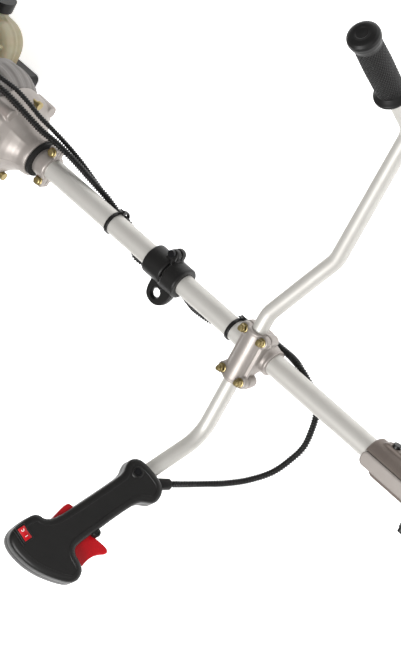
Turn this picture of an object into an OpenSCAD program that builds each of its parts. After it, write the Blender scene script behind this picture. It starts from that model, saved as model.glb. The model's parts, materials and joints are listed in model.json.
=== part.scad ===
// Petrol string trimmer with a handlebar and a split shaft, millimetres.
// Stations are distances along the shaft from the handlebar clamp, positive towards the cutting head.
// X runs along the shaft to the cutting head, Y to the operator's left, Z up. Origin: the harness eye.

/* [Shaft] */
// Outside diameter of the main and lower tubes
tube_d = 26; // [24:0.5:32]
// Wall of both tubes
tube_wall = 1.5; // [1:0.25:2]
// Station of the engine end of the main tube
tube_start = -404; // [-404:1:-403]
// Station where the split coupler starts
coupler_s = 184; // [150:1:260]
// Length of the split coupler
coupler_l = 120; // [96:1:160]
// Diameter of the split coupler
coupler_d = 42; // [40:1:52]
// Station of the crossing point of the shaft and cutting axes
gear_s = 1080; // [850:5:1320]
// Diameter of the drive shaft
shaft_d = 8; // [7:0.5:9]

/* [Cutting head] */
// Angle between the shaft axis and the cutting axis
head_tilt = 65; // [60:1:70]
// Diameter of the line head
head_d = 110; // [90:1:130]
// Length of one cutting-line end that the guard leaves free of its skirt
line_gap = 4; // [2:1:12]
// Diameter of the cutting line
line_d = 2.4; // [1.6:0.2:3]
// Wall of the guard
guard_wall = 3; // [2:0.5:4]
// Depth of the guard skirt
skirt_h = 34; // [26:1:42]

/* [Handlebar] */
// Outside diameter of the handlebar
bar_d = 19; // [16:0.5:22]
// Wall of the handlebar
bar_wall = 2; // [1.5:0.25:3]
// Height of the bar above the shaft axis in its clamp
bar_h = 28; // [27:0.5:34]
// Length of the handlebar clamp along the shaft
clamp_l = 46; // [42:1:60]
// Width of the handlebar clamp across the shaft
clamp_w = 72; // [70:1:90]
// Spacing of the clamp bolts along the shaft
bolt_dx = 29; // [28.5:0.5:36]
// Spacing of the clamp bolts across the shaft
bolt_dy = 56.6; // [50:0.2:58]
// Length of the left grip
grip_l = 110; // [90:1:130]
// Diameter of the left grip
grip_d = 33; // [30:0.5:38]

/* [Throttle handle] */
// Width of the handle body
handle_w = 36; // [33:0.5:42]
// Thickness of the handle, both halves
handle_t = 34; // [32:0.5:40]
// Width of the front flange
flange_w = 57; // [54:0.5:64]
// Sideways offset of the handle body from the bar
handle_offset = 3.4; // [2:0.2:4]
// Wall of the handle shells
handle_wall = 3; // [2:0.25:4]

/* [Harness clamp] */
// Station of the harness clamp
harness_s = -157; // [-165:1:-150]
// Length of the harness clamp
harness_l = 54; // [44:1:60]
// Sideways distance from the shaft axis to the eye
eye_y = 31; // [29:0.5:40]
// Diameter of the eye for the harness hook
eye_d = 11; // [9:0.5:12]
// Thickness of the eye plate
eye_t = 8; // [6:0.5:9]

/* [Engine] */
// Diameter of the fan housing
fan_d = 131; // [130:1:140]
// Diameter of the starter cover
starter_d = 120; // [110:1:124]
// Cylinder bore
bore_d = 36; // [32:0.5:38]
// Width of the fuel tank
tank_w = 132; // [120:1:150]
// Height of the fuel tank
tank_h = 50; // [48:1:60]
// Wall of the fuel tank
tank_wall = 2.5; // [2:0.25:4]
// Depth of the guard rim, on which the front end rests, below the shaft axis
floor_z = 168; // [167:1:190]

/* [Fits] */
// Radial clearance of parts that turn or slide
run = 0.05; // [0.03:0.01:0.08]
// Radial clearance of parts that are clamped
seat = 0.05; // [0.02:0.01:0.08]
// Gap between moving parts that don't bear on each other
gap = 0.5; // [0.3:0.1:0.8]

/* [Hidden] */
$fn = 64;

alu = "#C4C2BC";
cast = "#A69F9B";
steel = "#8C8C8C";
zinc = "#BFA253";
black = "#222222";
red = "#C0141C";

tube_r = tube_d / 2;
tube_bore = tube_r - tube_wall;
over = 1;
tube_join = coupler_s + coupler_l / 2;

// Clutch end, stations
collar_end = -361;
collar_back = -417;
collar_r = tube_r + 3.5;
bush_r = collar_r + 6.5;
nose_s = -384;
flange_s = -421;
housing_back = -450;
flange_bolt_r = 51;
bearing_t = 9;
drum_r = 38.5;
drum_plate = -428;

// Engine, stations and radii
fan_back = -498;
fan_r = fan_d / 2;
case_back = -560;
case_r = 42;
starter_back = -612;
starter_r = starter_d / 2;
crank_s = -530;
crank_throw = 15;
rod_l = 50;
cyl_base = 42;
cyl_top = 103;
cyl_r = bore_d / 2 + 4;
carb_y = 68;
main_bearing_d = 32;
shaft_journal = 12;
rope_s = -593;
rope_y = 29;
tank_top = -63;
tank_bottom = tank_top - tank_h;
tank_front = -540;
tank_rear = -650;
tank_corner = 34;
cap_s = -595;
cap_z = tank_top - 25;
line_y = 46;
keel_front = -520;
keel_w = 30;
stand_z = tank_bottom - 19;

// Handlebar, corners of its centre line in shaft coordinates
handle_dir = unit([-0.061, -0.605, 0.794]);
side_hint = unit([0.860, -0.436, -0.266]);
right_corner = [0, -118, bar_h];
handle_front = right_corner + handle_dir * 77;
bar_in_handle = 85;
left_corner = [0, 58, bar_h];
left_rise = [47, 168, 37];
grip_corner = [69, 362, 77];
grip_dir = unit([-0.21, 0.607, 0.766]);
grip_start = 66;
grip_end_wall = 6;
bar_points = [handle_front + handle_dir * bar_in_handle, right_corner, left_corner, left_rise, grip_corner,
  grip_corner + grip_dir * (grip_start + grip_l - grip_end_wall)];
bar_radii = [0, 45, 35, 40, 40, 0];

// Throttle handle outline: sideways place and distance along the bar; the body sits a little to the trigger side
body_left = handle_offset - handle_w / 2;
body_right = handle_offset + handle_w / 2;
flange_left = handle_offset + 2 - flange_w / 2;
flange_right = handle_offset + 2 + flange_w / 2;
handle_outline = [[-12, 2], [flange_left + 3, 8], [flange_left, 15], [flange_left + 2, 20], [body_left - 1, 29],
  [body_left, 38], [body_left, 99], [body_left - 1, 130], [-24, 139], [-29, 142], [-32, 149], [-32, 172],
  [-28, 181], [-19, 186], [-4, 186], [16, 181], [35, 169], [52, 154], [55, 146], [53, 138], [47, 132],
  [body_right + 3, 132], [body_right, 127], [body_right, 40], [body_right + 2, 32], [flange_right - 7, 26],
  [flange_right, 17], [flange_right - 1, 7], [25, 0], [14, -3]];
trigger_pivot = [16, 124];
lockout_pivot = [-9, 130];
switch_at = [-21, 168];
front_screw = [-7, 16];
rear_screws = [[-11, 92], [12, 166]];
switch_size = [16, 9];
lever_t = 11;
boss_x = 17;
boss_l = 14;
boss_turn = 148;
boss_in = 3;
conduit_r = 4.5;

// Throttle conduit centre line in shaft coordinates
conduit_route = [[-509, 60, 80], [-496, 60, 70], [-478, 60, 60], [-458, 60, 53], [-440, 58, 46],
  [-421, 51, 36], [-405, 44, 27], [-388, 37, 17], [-367, 33, 8], [-340, 27, 0], [-310, 19, -7],
  [-284, 11, -15], [-262, 4, -18], [-242, 2, -18], [-226, -9, -17], [-209, -18, -8], [-190, -20, -16],
  [-157, -16, -20], [-124, -20, -16], [-104, -18, -8], [-80, -16, -10], [-64, -8, -17], [-52, -1, -18],
  [-36, 1, -19], [-24, 8, -24], [0, 10.1, -21.2], [25, 10.8, -21], [45, 12, -14], [60, 4.5, -17.8],
  [75, -4, -18.5], [86, -16, -20.5], [92, -30, -22],
  [100, -59, -15], [98, -81, -5], [91, -103, 6], [76, -124, 20], [58, -141, 31], [42, -153, 40],
  [28, -162, 56], [17, -168, 73], [10, -172, 84]];

// Cutting head, distances along the cutting axis
cone_l = 16;
pinion_teeth = 15;
gear_teeth = 20;
axes_angle = 180 - head_tilt;
pinion_cone = atan2(sin(axes_angle), gear_teeth / pinion_teeth + cos(axes_angle));
gear_cone = axes_angle - pinion_cone;
tooth_shrink = 0.65;
case_bore = 20;
nose_end = 44;
bracket_t = 3;
guard_z = nose_end + bracket_t;
skirt_z = guard_z + guard_wall + skirt_h;
guard_r = (floor_z - skirt_z * sin(head_tilt)) / cos(head_tilt);
line_z = 79;
line_tip = guard_r - guard_wall - line_gap;
head_top = 56;

function unit(v) = v / norm(v);
function local_x(a) = let (b = acos(a[2]), c = atan2(a[1], a[0])) [cos(c) * cos(b), sin(c) * cos(b), -sin(b)];
function local_y(a) = let (c = atan2(a[1], a[0])) [-sin(c), cos(c), 0];
function corner_angle(p, q, r) = acos(unit(q - p) * unit(r - q));
function corner_reach(p, i, radii) = radii[i] * tan(corner_angle(p[i - 1], p[i], p[i + 1]) / 2);

// Turns local Z to direction a, and local X as near as it can to direction x
module aim(a, x) {
  turn = atan2(x * local_y(a), x * local_x(a));
  rotate([0, acos(a[2]), atan2(a[1], a[0])]) rotate([0, 0, turn]) children();
}

module on_shaft(s = 0) translate([s - harness_s, eye_y, 0]) children();
module at_head() on_shaft(gear_s) rotate([0, 90 + head_tilt, 0]) children();
module in_handle() on_shaft() translate(handle_front) aim(handle_dir, side_hint) children();

module rod_x(s0, s1, d) translate([s0, 0, 0]) rotate([0, 90, 0]) cylinder(h = s1 - s0, d = d);
module rod_y(y0, y1, d) translate([0, y0, 0]) rotate([-90, 0, 0]) cylinder(h = y1 - y0, d = d);
module rod_z(z0, z1, d) translate([0, 0, z0]) cylinder(h = z1 - z0, d = d);

module ring_x(s0, s1, od, id) difference() {
  rod_x(s0, s1, od);
  rod_x(s0 - over, s1 + over, id);
}

module ring_z(z0, z1, od, id) difference() {
  rod_z(z0, z1, od);
  rod_z(z0 - over, z1 + over, id);
}

// Turned about the shaft axis: points are [station, radius]
module turned_x(points) rotate([0, 90, 0]) rotate_extrude() polygon([for (p = points) [p[1], p[0]]]);

module block(low, high) translate(low) cube(high - low);

module rounded_square(x, y, r) {
  square([x - 2 * r, y], center = true);
  square([x, y - 2 * r], center = true);
  for (i = [-1, 1], j = [-1, 1]) translate([i * (x / 2 - r), j * (y / 2 - r)]) circle(r = r);
}

// Box with round upright edges
module rounded_block(low, high, r) translate([(low[0] + high[0]) / 2, (low[1] + high[1]) / 2, low[2]])
  linear_extrude(high[2] - low[2]) rounded_square(high[0] - low[0], high[1] - low[1], r);

module rod_between(p, q, d) translate(p) aim(unit(q - p), [1, 0, 0]) cylinder(h = norm(q - p), d = d);

// Round bend at corner q; a little fatter than the straights so that they end inside it
module bend(p, q, r, radius, d) {
  a = unit(q - p);
  b = unit(r - q);
  angle = acos(a * b);
  inward = unit(b - a * (a * b));
  translate(q - a * radius * tan(angle / 2) + inward * radius) aim(cross(-inward, a), -inward)
    rotate_extrude(angle = angle) translate([radius, 0]) circle(d = d + 0.1);
}

// Straight rods joined by round bends; ends reach further by the given length
module bent_rod(p, radii, d, longer = 0) {
  last = len(p) - 1;
  for (i = [0:last - 1]) {
    a = unit(p[i + 1] - p[i]);
    start = i == 0 ? p[i] - a * longer : p[i] + a * (corner_reach(p, i, radii) - over);
    end = i == last - 1 ? p[i + 1] + a * longer : p[i + 1] - a * (corner_reach(p, i + 1, radii) - over);
    rod_between(start, end, d);
  }
  for (i = [1:last - 1]) bend(p[i - 1], p[i], p[i + 1], radii[i], d);
}

// Round tube swept along hand-placed points, with one ring at each point and one half way between
function between(p, i) = let (n = len(p) - 1, a = p[max(i - 1, 0)], b = p[i], c = p[i + 1], e = p[min(i + 2, n)])
  (b + c) * 0.5625 - (a + e) * 0.0625;
function smooth(p) = [for (i = [0:2 * len(p) - 2]) i % 2 == 0 ? p[i / 2] : between(p, (i - 1) / 2)];
function heading(p, i) = unit(p[min(i + 1, len(p) - 1)] - p[max(i - 1, 0)]);
function ring_at(c, t, r, n) = let (x = unit(cross(t, [0, 0, 1])), y = cross(t, x))
  [for (k = [0:n - 1]) c + r * (x * cos(360 * k / n) + y * sin(360 * k / n))];

module sweep(route, r, n) {
  p = smooth(route);
  m = len(p);
  points = [for (i = [0:m - 1]) each ring_at(p[i], heading(p, i), r, n)];
  walls = [for (i = [0:m - 2], k = [0:n - 1]) [i * n + k, (i + 1) * n + k, (i + 1) * n + (k + 1) % n,
    i * n + (k + 1) % n]];
  start_cap = [[for (k = [0:n - 1]) k]];
  end_cap = [[for (k = [0:n - 1]) m * n - 1 - k]];
  polyhedron(points, concat(walls, start_cap, end_cap));
}

// Tubes, shafts and bearings
module main_tube() color(alu) on_shaft()
  ring_x(tube_start, tube_join - gap, tube_d, 2 * tube_bore);

module lower_tube() color(alu) on_shaft()
  ring_x(tube_join + gap, gear_s - nose_end, tube_d, 2 * tube_bore);

socket_l = 26;
socket_back = tube_join - 12 - socket_l;
tongue = shaft_d * 0.75;

module drive_shaft_upper() color(steel) on_shaft() {
  difference() {
    union() {
      rod_x(-425, socket_back + over, shaft_d);
      rod_x(socket_back, socket_back + socket_l, shaft_d + 6);
    }
    block([socket_back + 3, -tongue / 2 - run, -tongue / 2 - run],
      [socket_back + socket_l + over, tongue / 2 + run, tongue / 2 + run]);
  }
}

module drive_shaft_lower() color(steel) on_shaft() {
  rod_x(socket_back + socket_l + 1, gear_s - 31, shaft_d);
  block([socket_back + 4, -tongue / 2, -tongue / 2], [socket_back + socket_l + 2, tongue / 2, tongue / 2]);
}

lower_l = gear_s - nose_end - tube_join;
bush_places = [-300, -110, 70, tube_join + lower_l * 0.2, tube_join + lower_l * 0.5, tube_join + lower_l * 0.8];

module shaft_bushes() color(black) on_shaft()
  for (s = bush_places) ring_x(s, s + 22, 2 * (tube_bore - seat), shaft_d + 2 * run);

module bearings() color(steel) on_shaft() {
  ring_x(collar_back + 1.5, collar_back + 1.5 + bearing_t, main_bearing_d, shaft_journal + 2 * run);
  for (s = [-510, -560]) ring_x(s + 0.5, s + 9.5, main_bearing_d, shaft_journal + 2 * run);
  for (s = [-40, -29]) ring_x(gear_s + s, gear_s + s + bearing_t, 24, shaft_journal + 2 * run);
  translate([gear_s, 0, 0]) rotate([0, 90 + head_tilt, 0])
    for (z = [14, 33]) ring_z(z, z + bearing_t, 2 * case_bore, shaft_journal + 2 * run);
}

// Clutch end
module clutch_drum() color(steel) on_shaft() turned_x([[-449, drum_r - 2.5], [-449, drum_r],
  [drum_plate + 2.5, drum_r], [drum_plate + 2.5, shaft_journal / 2], [collar_back + 12, shaft_journal / 2],
  [collar_back + 12, shaft_d / 2 + seat], [drum_plate, shaft_d / 2 + seat], [drum_plate, drum_r - 2.5]]);

module clutch_shoes() color(steel) on_shaft() difference() {
  ring_x(-448, -431, 2 * (drum_r - 3.5), 40);
  block([-450, -2, -40], [-430, 2, 40]);
  for (i = [-1, 1]) translate([0, i * 27, 0]) rod_x(-450, -430, 6 + 2 * seat);
}

module flywheel() color(cast) on_shaft() difference() {
  union() {
    rod_x(-470, -462, 104);
    rod_x(-462, -450, 50);
    rod_x(-490, -462, 34);
    for (a = [0:30:330]) rotate([a, 0, 0]) block([-490, -1.5, 16], [-468, 1.5, 50]);
    for (i = [-1, 1]) translate([0, i * 27, 0]) rod_x(-464, -432, 6);
  }
  rod_x(-492, -449, shaft_journal + 2 * seat);
}

module collar_holes(d) for (i = [-1, 1]) translate([-367, i * (tube_r + 7), 0]) rod_z(-20, 20, d);

module tube_collar() color(cast) on_shaft() difference() {
  union() {
    rod_x(collar_back, -405, 44);
    rod_x(-406, collar_end, 2 * collar_r);
    block([-373, -tube_r - 13, -7], [collar_end, tube_r + 13, 7]);
  }
  rod_x(collar_back - over, collar_back + 12, main_bearing_d + 2 * seat);
  rod_x(collar_back, collar_end + over, tube_d + 2 * seat);
  collar_holes(5 + 2 * seat);
}

module isolator_bush() color(black) on_shaft() ring_x(-404, nose_s + 5, 2 * bush_r, 2 * (collar_r + seat));

module flange_bolt_places() for (a = [0:90:270]) rotate([a, 0, 0]) translate([0, flange_bolt_r, 0]) children();

module clutch_housing() color(cast) on_shaft() difference() {
  union() {
    turned_x([[nose_s, bush_r + seat], [nose_s, bush_r + 3], [-398, bush_r + 6], [flange_s, 42],
      [flange_s, 54], [housing_back, 55], [housing_back, 44], [-428, 44], [-428, 41], [-409, bush_r + 2],
      [-409, bush_r + seat]]);
    flange_bolt_places() rod_x(housing_back, flange_s, 16);
  }
  rod_x(housing_back - over, -428, 88);
  flange_bolt_places() rod_x(housing_back - over, flange_s + over, 6 + 2 * seat);
}

module fan_housing() color("#8E8C8A") on_shaft() difference() {
  union() {
    turned_x([[fan_back, 0], [fan_back, fan_r], [-478, fan_r], [-469, fan_r - 1.2], [-460, fan_r - 4],
      [-453.5, fan_r - 8], [housing_back, fan_r - 10.5], [housing_back, 0]]);
    flange_bolt_places() rod_x(-466, housing_back, 17);
  }
  turned_x([[fan_back + 3, 0], [fan_back + 3, fan_r - 4], [-480, fan_r - 4], [-470, fan_r - 6],
    [-461, fan_r - 9], [housing_back - 4, fan_r - 15], [housing_back - 4, 0]]);
  rod_x(fan_back - over, housing_back + over, 90);
  flange_bolt_places() rod_x(housing_back - 4, housing_back + over, 6 + 2 * seat);
}

module housing_bolts() color(zinc) on_shaft() {
  flange_bolt_places() {
    rod_x(flange_s, flange_s + 5, 10);
    rod_x(housing_back - 3, flange_s + 1, 6);
  }
  for (i = [-1, 1]) translate([-367, i * (tube_r + 7), 0]) {
    rod_z(7, 11, 9);
    rod_z(-7, 8, 5);
  }
}

// Engine
module ignition_coil() color(black) on_shaft() block([-490, -15, 51.5], [-473, 15, fan_r - 8]);

module crankcase() color(cast) on_shaft() difference() {
  union() {
    rod_x(case_back, fan_back, 2 * case_r);
    rod_x(-504, fan_back, 116);
    rod_x(case_back - 2, case_back + 3, 112);
    block([-559, -30, 0], [-501, 30, cyl_base]);
  }
  rod_x(-550, -510, 60);
  rod_x(case_back - 3, fan_back + over, main_bearing_d + 2 * seat);
  translate([crank_s, 0, 0]) rod_z(0, cyl_base + over, bore_d);
}

module crankshaft() color(steel) on_shaft() {
  rod_x(-575, -537, shaft_journal);
  rod_x(-575, -563, 18);
  rod_x(-543, -537, 54);
  translate([0, 0, crank_throw]) rod_x(-538, -522, 10);
  rod_x(-523, -517, 54);
  rod_x(-523, -450, shaft_journal);
}

module piston_and_rod() color(cast) on_shaft() translate([crank_s, 0, crank_throw]) {
  difference() {
    union() {
      rod_x(-4, 4, 16);
      translate([0, 0, rod_l]) rod_x(-4, 4, 13);
      block([-2.5, -4, 7], [2.5, 4, rod_l - 5]);
    }
    rod_x(-5, 5, 10 + 2 * run);
    translate([0, 0, rod_l]) rod_x(-5, 5, 8 + 2 * run);
  }
  difference() {
    translate([0, 0, rod_l]) rod_z(-13, 14, bore_d - 4 * run);
    translate([0, 0, rod_l]) rod_z(-14, 9, bore_d - 6);
  }
  translate([0, 0, rod_l]) rod_x(-bore_d / 2 + 3, bore_d / 2 - 3, 8);
}

module cylinder_fins() for (z = [51:7:100]) block([-25, -32, z], [25, 32, z + 2]);

module cylinder_block() difference() {
  union() {
    rod_z(cyl_base, cyl_top, 2 * cyl_r);
    block([-25, -28, cyl_base], [25, 28, cyl_base + 5]);
    cylinder_fins();
    translate([0, 0, 72]) rod_y(-33, 33, 26);
  }
  rod_z(cyl_base - over, cyl_top - 8, bore_d);
  rod_z(cyl_top - 9, cyl_top + over, 10 + 2 * seat);
  translate([0, 0, 72]) rod_y(-34, 34, 14);
}

module cylinder_part() color(cast) on_shaft() translate([crank_s, 0, 0]) cylinder_block();

module spark_plug() color(black) on_shaft() translate([crank_s, 0, 0]) {
  rod_z(cyl_top - 10, cyl_top + 1, 10);
  rod_z(cyl_top, cyl_top + 12, 18);
  rod_z(cyl_top + 11, cyl_top + 38, 20);
}

module starter_cover() color(black) on_shaft() difference() {
  union() {
    difference() {
      rod_x(starter_back, case_back - 2, starter_d);
      rod_x(starter_back + 3, case_back, starter_d - 6);
    }
    rod_x(starter_back, rope_s + 10, 10);
  }
  translate([rope_s, rope_y, 0]) rod_z(20, starter_r + over, 6);
  for (a = [60:60:360]) rotate([a, 0, 0]) translate([0, 0, starter_r - 22]) rod_x(starter_back - over, -608, 14);
}

module starter_pulley() color(black) on_shaft() difference() {
  union() {
    rod_x(rope_s - 7, rope_s - 5, 62);
    rod_x(rope_s - 6, rope_s + 6, 53);
    rod_x(rope_s + 5, rope_s + 7, 62);
  }
  rod_x(rope_s - 9, rope_s + 9, 10 + 2 * run);
}

module starter_handle() color(black) on_shaft() translate([rope_s, rope_y, 0]) {
  rod_z(-42, 68, 3);
  translate([0, 0, 74]) rod_y(-28, 28, 16);
}

module muffler() color("#6E6A66") on_shaft() difference() {
  union() {
    rounded_block([-562, -80, 44], [-506, -38, 101], 8);
    translate([crank_s, 0, 72]) rod_y(-40, -33, 26);
  }
  rounded_block([-560, -78, 46], [-508, -40, 99], 6);
  translate([crank_s, 0, 72]) rod_y(-45, -32, 14);
  translate([-540, 0, 60]) rod_y(-82, -70, 12);
}

module carburettor() color(cast) on_shaft() difference() {
  union() {
    translate([crank_s, 0, 72]) rod_y(33, 50, 26);
    block([-548, 48, 52], [-514, 84, 92]);
  }
  translate([crank_s, 0, 72]) rod_y(32, 85, 14);
  translate([crank_s + 12, carb_y, 0]) rod_z(50, 93, 4 + 2 * run);
  translate([crank_s - 4, carb_y, 0]) rod_z(51, 57.5, 19.5);
}

module carb_lever() color(zinc) on_shaft() translate([crank_s + 12, carb_y, 0]) {
  rod_z(52, 96, 4);
  rod_z(92 + gap, 96, 10);
  block([-2, -2, 92 + gap], [4, 16, 96]);
}

module primer_bulb() color(red) on_shaft() translate([crank_s - 4, carb_y, 0]) rod_z(40, 52.5, 18);

module air_filter_cover() color(black) on_shaft() difference() {
  rounded_block([-566, 84.5, 36], [-504, 120, 112], 8);
  rounded_block([-563, 84, 39], [-507, 117, 109], 5);
  block([-563, 84, 39], [-507, 90, 109]);
  translate([-545, 0, 88]) rod_y(110, 121, 6 + 2 * run);
}

module choke_lever() color(black) on_shaft() translate([-545, 0, 88]) {
  rod_y(112, 124, 6);
  rod_y(120 + gap, 124, 14);
  block([-3, 120 + gap, -26], [3, 124, 0]);
}

module engine_cover() color(red) on_shaft() difference() {
  rounded_block([-566, -44, 104], [-500, 44, 160], 14);
  rounded_block([-563, -41, 103], [-503, 41, 157], 11);
  for (y = [-24:12:24]) block([-504, y - 2.5, 112], [-499, y + 2.5, 145]);
}

module fuel_tank() color("#E8E2C8") on_shaft() difference() {
  union() {
    rounded_block([tank_rear, -tank_w / 2, tank_bottom], [tank_front, tank_w / 2, tank_top], tank_corner);
    translate([cap_s, 0, cap_z]) rod_y(tank_w / 2 - 4, tank_w / 2 + 6, 36);
  }
  rounded_block([tank_rear + tank_wall, -tank_w / 2 + tank_wall, tank_bottom + tank_wall],
    [tank_front - tank_wall, tank_w / 2 - tank_wall, tank_top - tank_wall], tank_corner - tank_wall);
  translate([cap_s, 0, cap_z]) rod_y(tank_w / 2 - 5, tank_w / 2 + 7, 28);
}

module fuel_cap() color(black) on_shaft() translate([cap_s, 0, cap_z]) {
  rod_y(tank_w / 2 + 6 + gap, tank_w / 2 + 20, 42);
  rod_y(tank_w / 2 - 3, tank_w / 2 + 7, 28 - 2 * gap);
}

module fuel_lines() color("#D8D8C8") on_shaft() for (i = [0, 1])
  bent_rod([[-545 - 8 * i, line_y, tank_top], [-545 - 8 * i, line_y, 12 + 8 * i],
    [-519, 58 + 11 * i, 32 + 4 * i], [-519, 58 + 11 * i, 52]], [0, 8, 8, 0], 5);

// One keel under the tank, a foot across its rear end and a web up to the crankcase
module tank_stand() color(black) on_shaft() difference() {
  union() {
    rounded_block([tank_rear, -keel_w / 2, stand_z], [keel_front, keel_w / 2, tank_bottom - 0.2], 7);
    rounded_block([tank_rear, -tank_w / 2 + 6, stand_z], [tank_rear + 48, tank_w / 2 - 6, tank_bottom - 0.2],
      12);
    block([keel_front - 17, -keel_w / 2, stand_z + 4], [keel_front - 3, keel_w / 2, -30]);
  }
  rod_x(-600, -490, 2 * (case_r + seat));
}

// Harness clamp
module harness_clamp() color(black) on_shaft() difference() {
  union() {
    rod_x(harness_s - harness_l / 2, harness_s + harness_l / 2, tube_d + 14);
    block([harness_s - 11, 0, -10], [harness_s + 15, tube_r + 19, 10]);
    block([harness_s - eye_d / 2 - 8, -eye_y, -eye_t / 2], [harness_s + 20, 0, eye_t / 2]);
    translate([harness_s, -eye_y, 0]) rod_z(-eye_t / 2, eye_t / 2, eye_d + 16);
    translate([harness_s + 9, -eye_y + 2, 0]) rod_z(-eye_t / 2, eye_t / 2, eye_d + 11);
  }
  rod_x(harness_s - harness_l, harness_s + harness_l, tube_d + 2 * seat);
  block([harness_s - harness_l, tube_r - 3, -1], [harness_s + harness_l, tube_r + 20, 1]);
  translate([harness_s, tube_r + 13, 0]) rod_z(-11, 11, 5 + 2 * seat);
  translate([harness_s, -eye_y, 0]) rod_z(-eye_t, eye_t, eye_d);
}

module black_screws() color("#303030") {
  on_shaft() translate([harness_s, tube_r + 13, 0]) {
    rod_z(10, 14, 9);
    rod_z(-10, 11, 5);
  }
  in_handle() translate([front_screw[0], 0, front_screw[1]]) {
    rod_y(handle_t / 2 - 3, handle_t / 2 + 1, 8);
    rod_y(handle_t / 2 - 6, handle_t / 2 - 2, 4);
  }
  for (p = rear_screws) in_handle() translate([p[0], 0, p[1]])
    rod_y(-handle_t / 2 - 1, -handle_t / 2 + 2.5, 7);
}

// Handlebar and its clamp
module clamp_bolt_places() for (i = [-1, 1], j = [-1, 1]) translate([i * bolt_dx / 2, j * bolt_dy / 2, 0]) children();

module clamp_ears(z0, z1) {
  clamp_bolt_places() rod_z(z0, z1, 16);
  for (j = [-1, 1]) block([-bolt_dx / 2, j * bolt_dy / 2 - 7.5, z0], [bolt_dx / 2, j * bolt_dy / 2 + 7.5, z1]);
}

module handlebar_clamp_base() color(cast) on_shaft() difference() {
  union() {
    rod_x(-clamp_l / 2, clamp_l / 2, tube_d + 11);
    clamp_ears(bar_h - 10, bar_h - 0.3);
    translate([-clamp_l / 2 + 8, 0, 0]) rotate([90, 0, 90]) linear_extrude(clamp_l - 16)
      polygon([[-17, 0], [-bolt_dy / 2 - 4, bar_h - 10], [-bolt_dy / 2 - 4, bar_h - 0.3],
        [bolt_dy / 2 + 4, bar_h - 0.3], [bolt_dy / 2 + 4, bar_h - 10], [17, 0]]);
  }
  rod_x(-clamp_l, clamp_l, tube_d + 2 * seat);
  translate([0, 0, bar_h]) rod_y(-clamp_w, clamp_w, bar_d + 2 * seat);
  clamp_bolt_places() rod_z(4, bar_h + over, 6 + 2 * seat);
}

cap_top = bar_h + 8;

module handlebar_clamp_cap() color(cast) on_shaft() difference() {
  union() {
    translate([0, 0, bar_h]) rod_y(-clamp_w / 2 + 1, clamp_w / 2 - 1, bar_d + 10);
    clamp_ears(bar_h, cap_top);
  }
  translate([0, 0, bar_h]) rod_y(-clamp_w, clamp_w, bar_d + 2 * seat);
  clamp_bolt_places() {
    rod_z(bar_h - over, cap_top + over, 6 + 2 * seat);
    rod_z(cap_top, cap_top + 9, 11);
  }
  block([-clamp_l, -clamp_w, bar_h - bar_d], [clamp_l, clamp_w, bar_h + 0.3]);
}

module clamp_bolts() color(zinc) on_shaft() clamp_bolt_places() {
  rod_z(cap_top, cap_top + 5, 10);
  rod_z(5, cap_top + 1, 6);
}

module handlebar() color(alu) on_shaft() difference() {
  bent_rod(bar_points, bar_radii, bar_d);
  bent_rod(bar_points, bar_radii, bar_d - 2 * bar_wall, 2);
}

module left_grip() color(black) on_shaft() translate(grip_corner + grip_dir * grip_start) aim(grip_dir, [1, 0, 0])
  rotate_extrude() polygon([[bar_d / 2 + seat, 0], [grip_d / 2 + 4, 0], [grip_d / 2 + 5, 3],
    [grip_d / 2 + 3, 6], [grip_d / 2 - 1, 9], [grip_d / 2, grip_l / 2], [grip_d / 2 - 1, grip_l - 18],
    [grip_d / 2 + 2, grip_l - 13], [grip_d / 2 + 3, grip_l - 7], [grip_d / 2, grip_l - 2],
    [grip_d / 2 - 4, grip_l], [0, grip_l], [0, grip_l - grip_end_wall + 0.2],
    [bar_d / 2 + seat, grip_l - grip_end_wall + 0.2]]);

// Throttle handle; local X points to the trigger side, Y out of the broad face, Z away from the clamp
module slab(y0, y1) translate([0, y1, 0]) rotate([90, 0, 0]) linear_extrude(y1 - y0) children();

module handle_hollows() {
  slab(-handle_t / 2 + handle_wall, handle_t / 2 - handle_wall) intersection() {
    offset(delta = -handle_wall) polygon(handle_outline);
    translate([-60, bar_in_handle + 2]) square([140, 120]);
  }
  rod_z(-6, bar_in_handle + 4, bar_d + 2 * seat);
  slab(-lever_t / 2 - gap, lever_t / 2 + gap) translate([body_right - 6, 84]) square([50, 47.5]);
  slab(-lever_t / 2 - gap, lever_t / 2 + gap) translate([body_left - 9, 96]) square([13, 38]);
  conduit_boss() rod_z(-boss_in, boss_l + over, 2 * (conduit_r + 6 * seat));
}

module conduit_boss() translate([boss_x, 0, 0]) rotate([0, boss_turn, 0]) children();

module handle_half(y0, y1) difference() {
  union() {
    slab(y0, y1) polygon(handle_outline);
    intersection() {
      conduit_boss() rod_z(-2, boss_l, 14);
      block([0, y0, -30], [60, y1, 20]);
    }
  }
  handle_hollows();
}

module throttle_handle_front() color(black) in_handle() difference() {
  handle_half(0, handle_t / 2);
  translate([switch_at[0], 0, switch_at[1]])
    block([-switch_size[0] / 2 - gap, 5, -switch_size[1] / 2 - gap],
      [switch_size[0] / 2 + gap, 30, switch_size[1] / 2 + gap]);
  translate([front_screw[0], 0, front_screw[1]]) {
    rod_y(handle_t / 2 - 3 - seat, handle_t / 2 + 2, 8 + 2 * seat);
    rod_y(handle_t / 2 - 6 - seat, handle_t / 2, 4 + 2 * seat);
  }
}

module throttle_handle_rear() color(black) in_handle() {
  difference() {
    handle_half(-handle_t / 2, 0);
    for (p = rear_screws) translate([p[0], 0, p[1]])
      rod_y(-handle_t / 2 - 2, -handle_t / 2 + 2.5 + seat, 7 + 2 * seat);
  }
  for (p = [trigger_pivot, lockout_pivot]) translate([p[0], 0, p[1]])
    rod_y(-handle_t / 2 + 1, lever_t / 2 + gap - run, 4);
}

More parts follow.
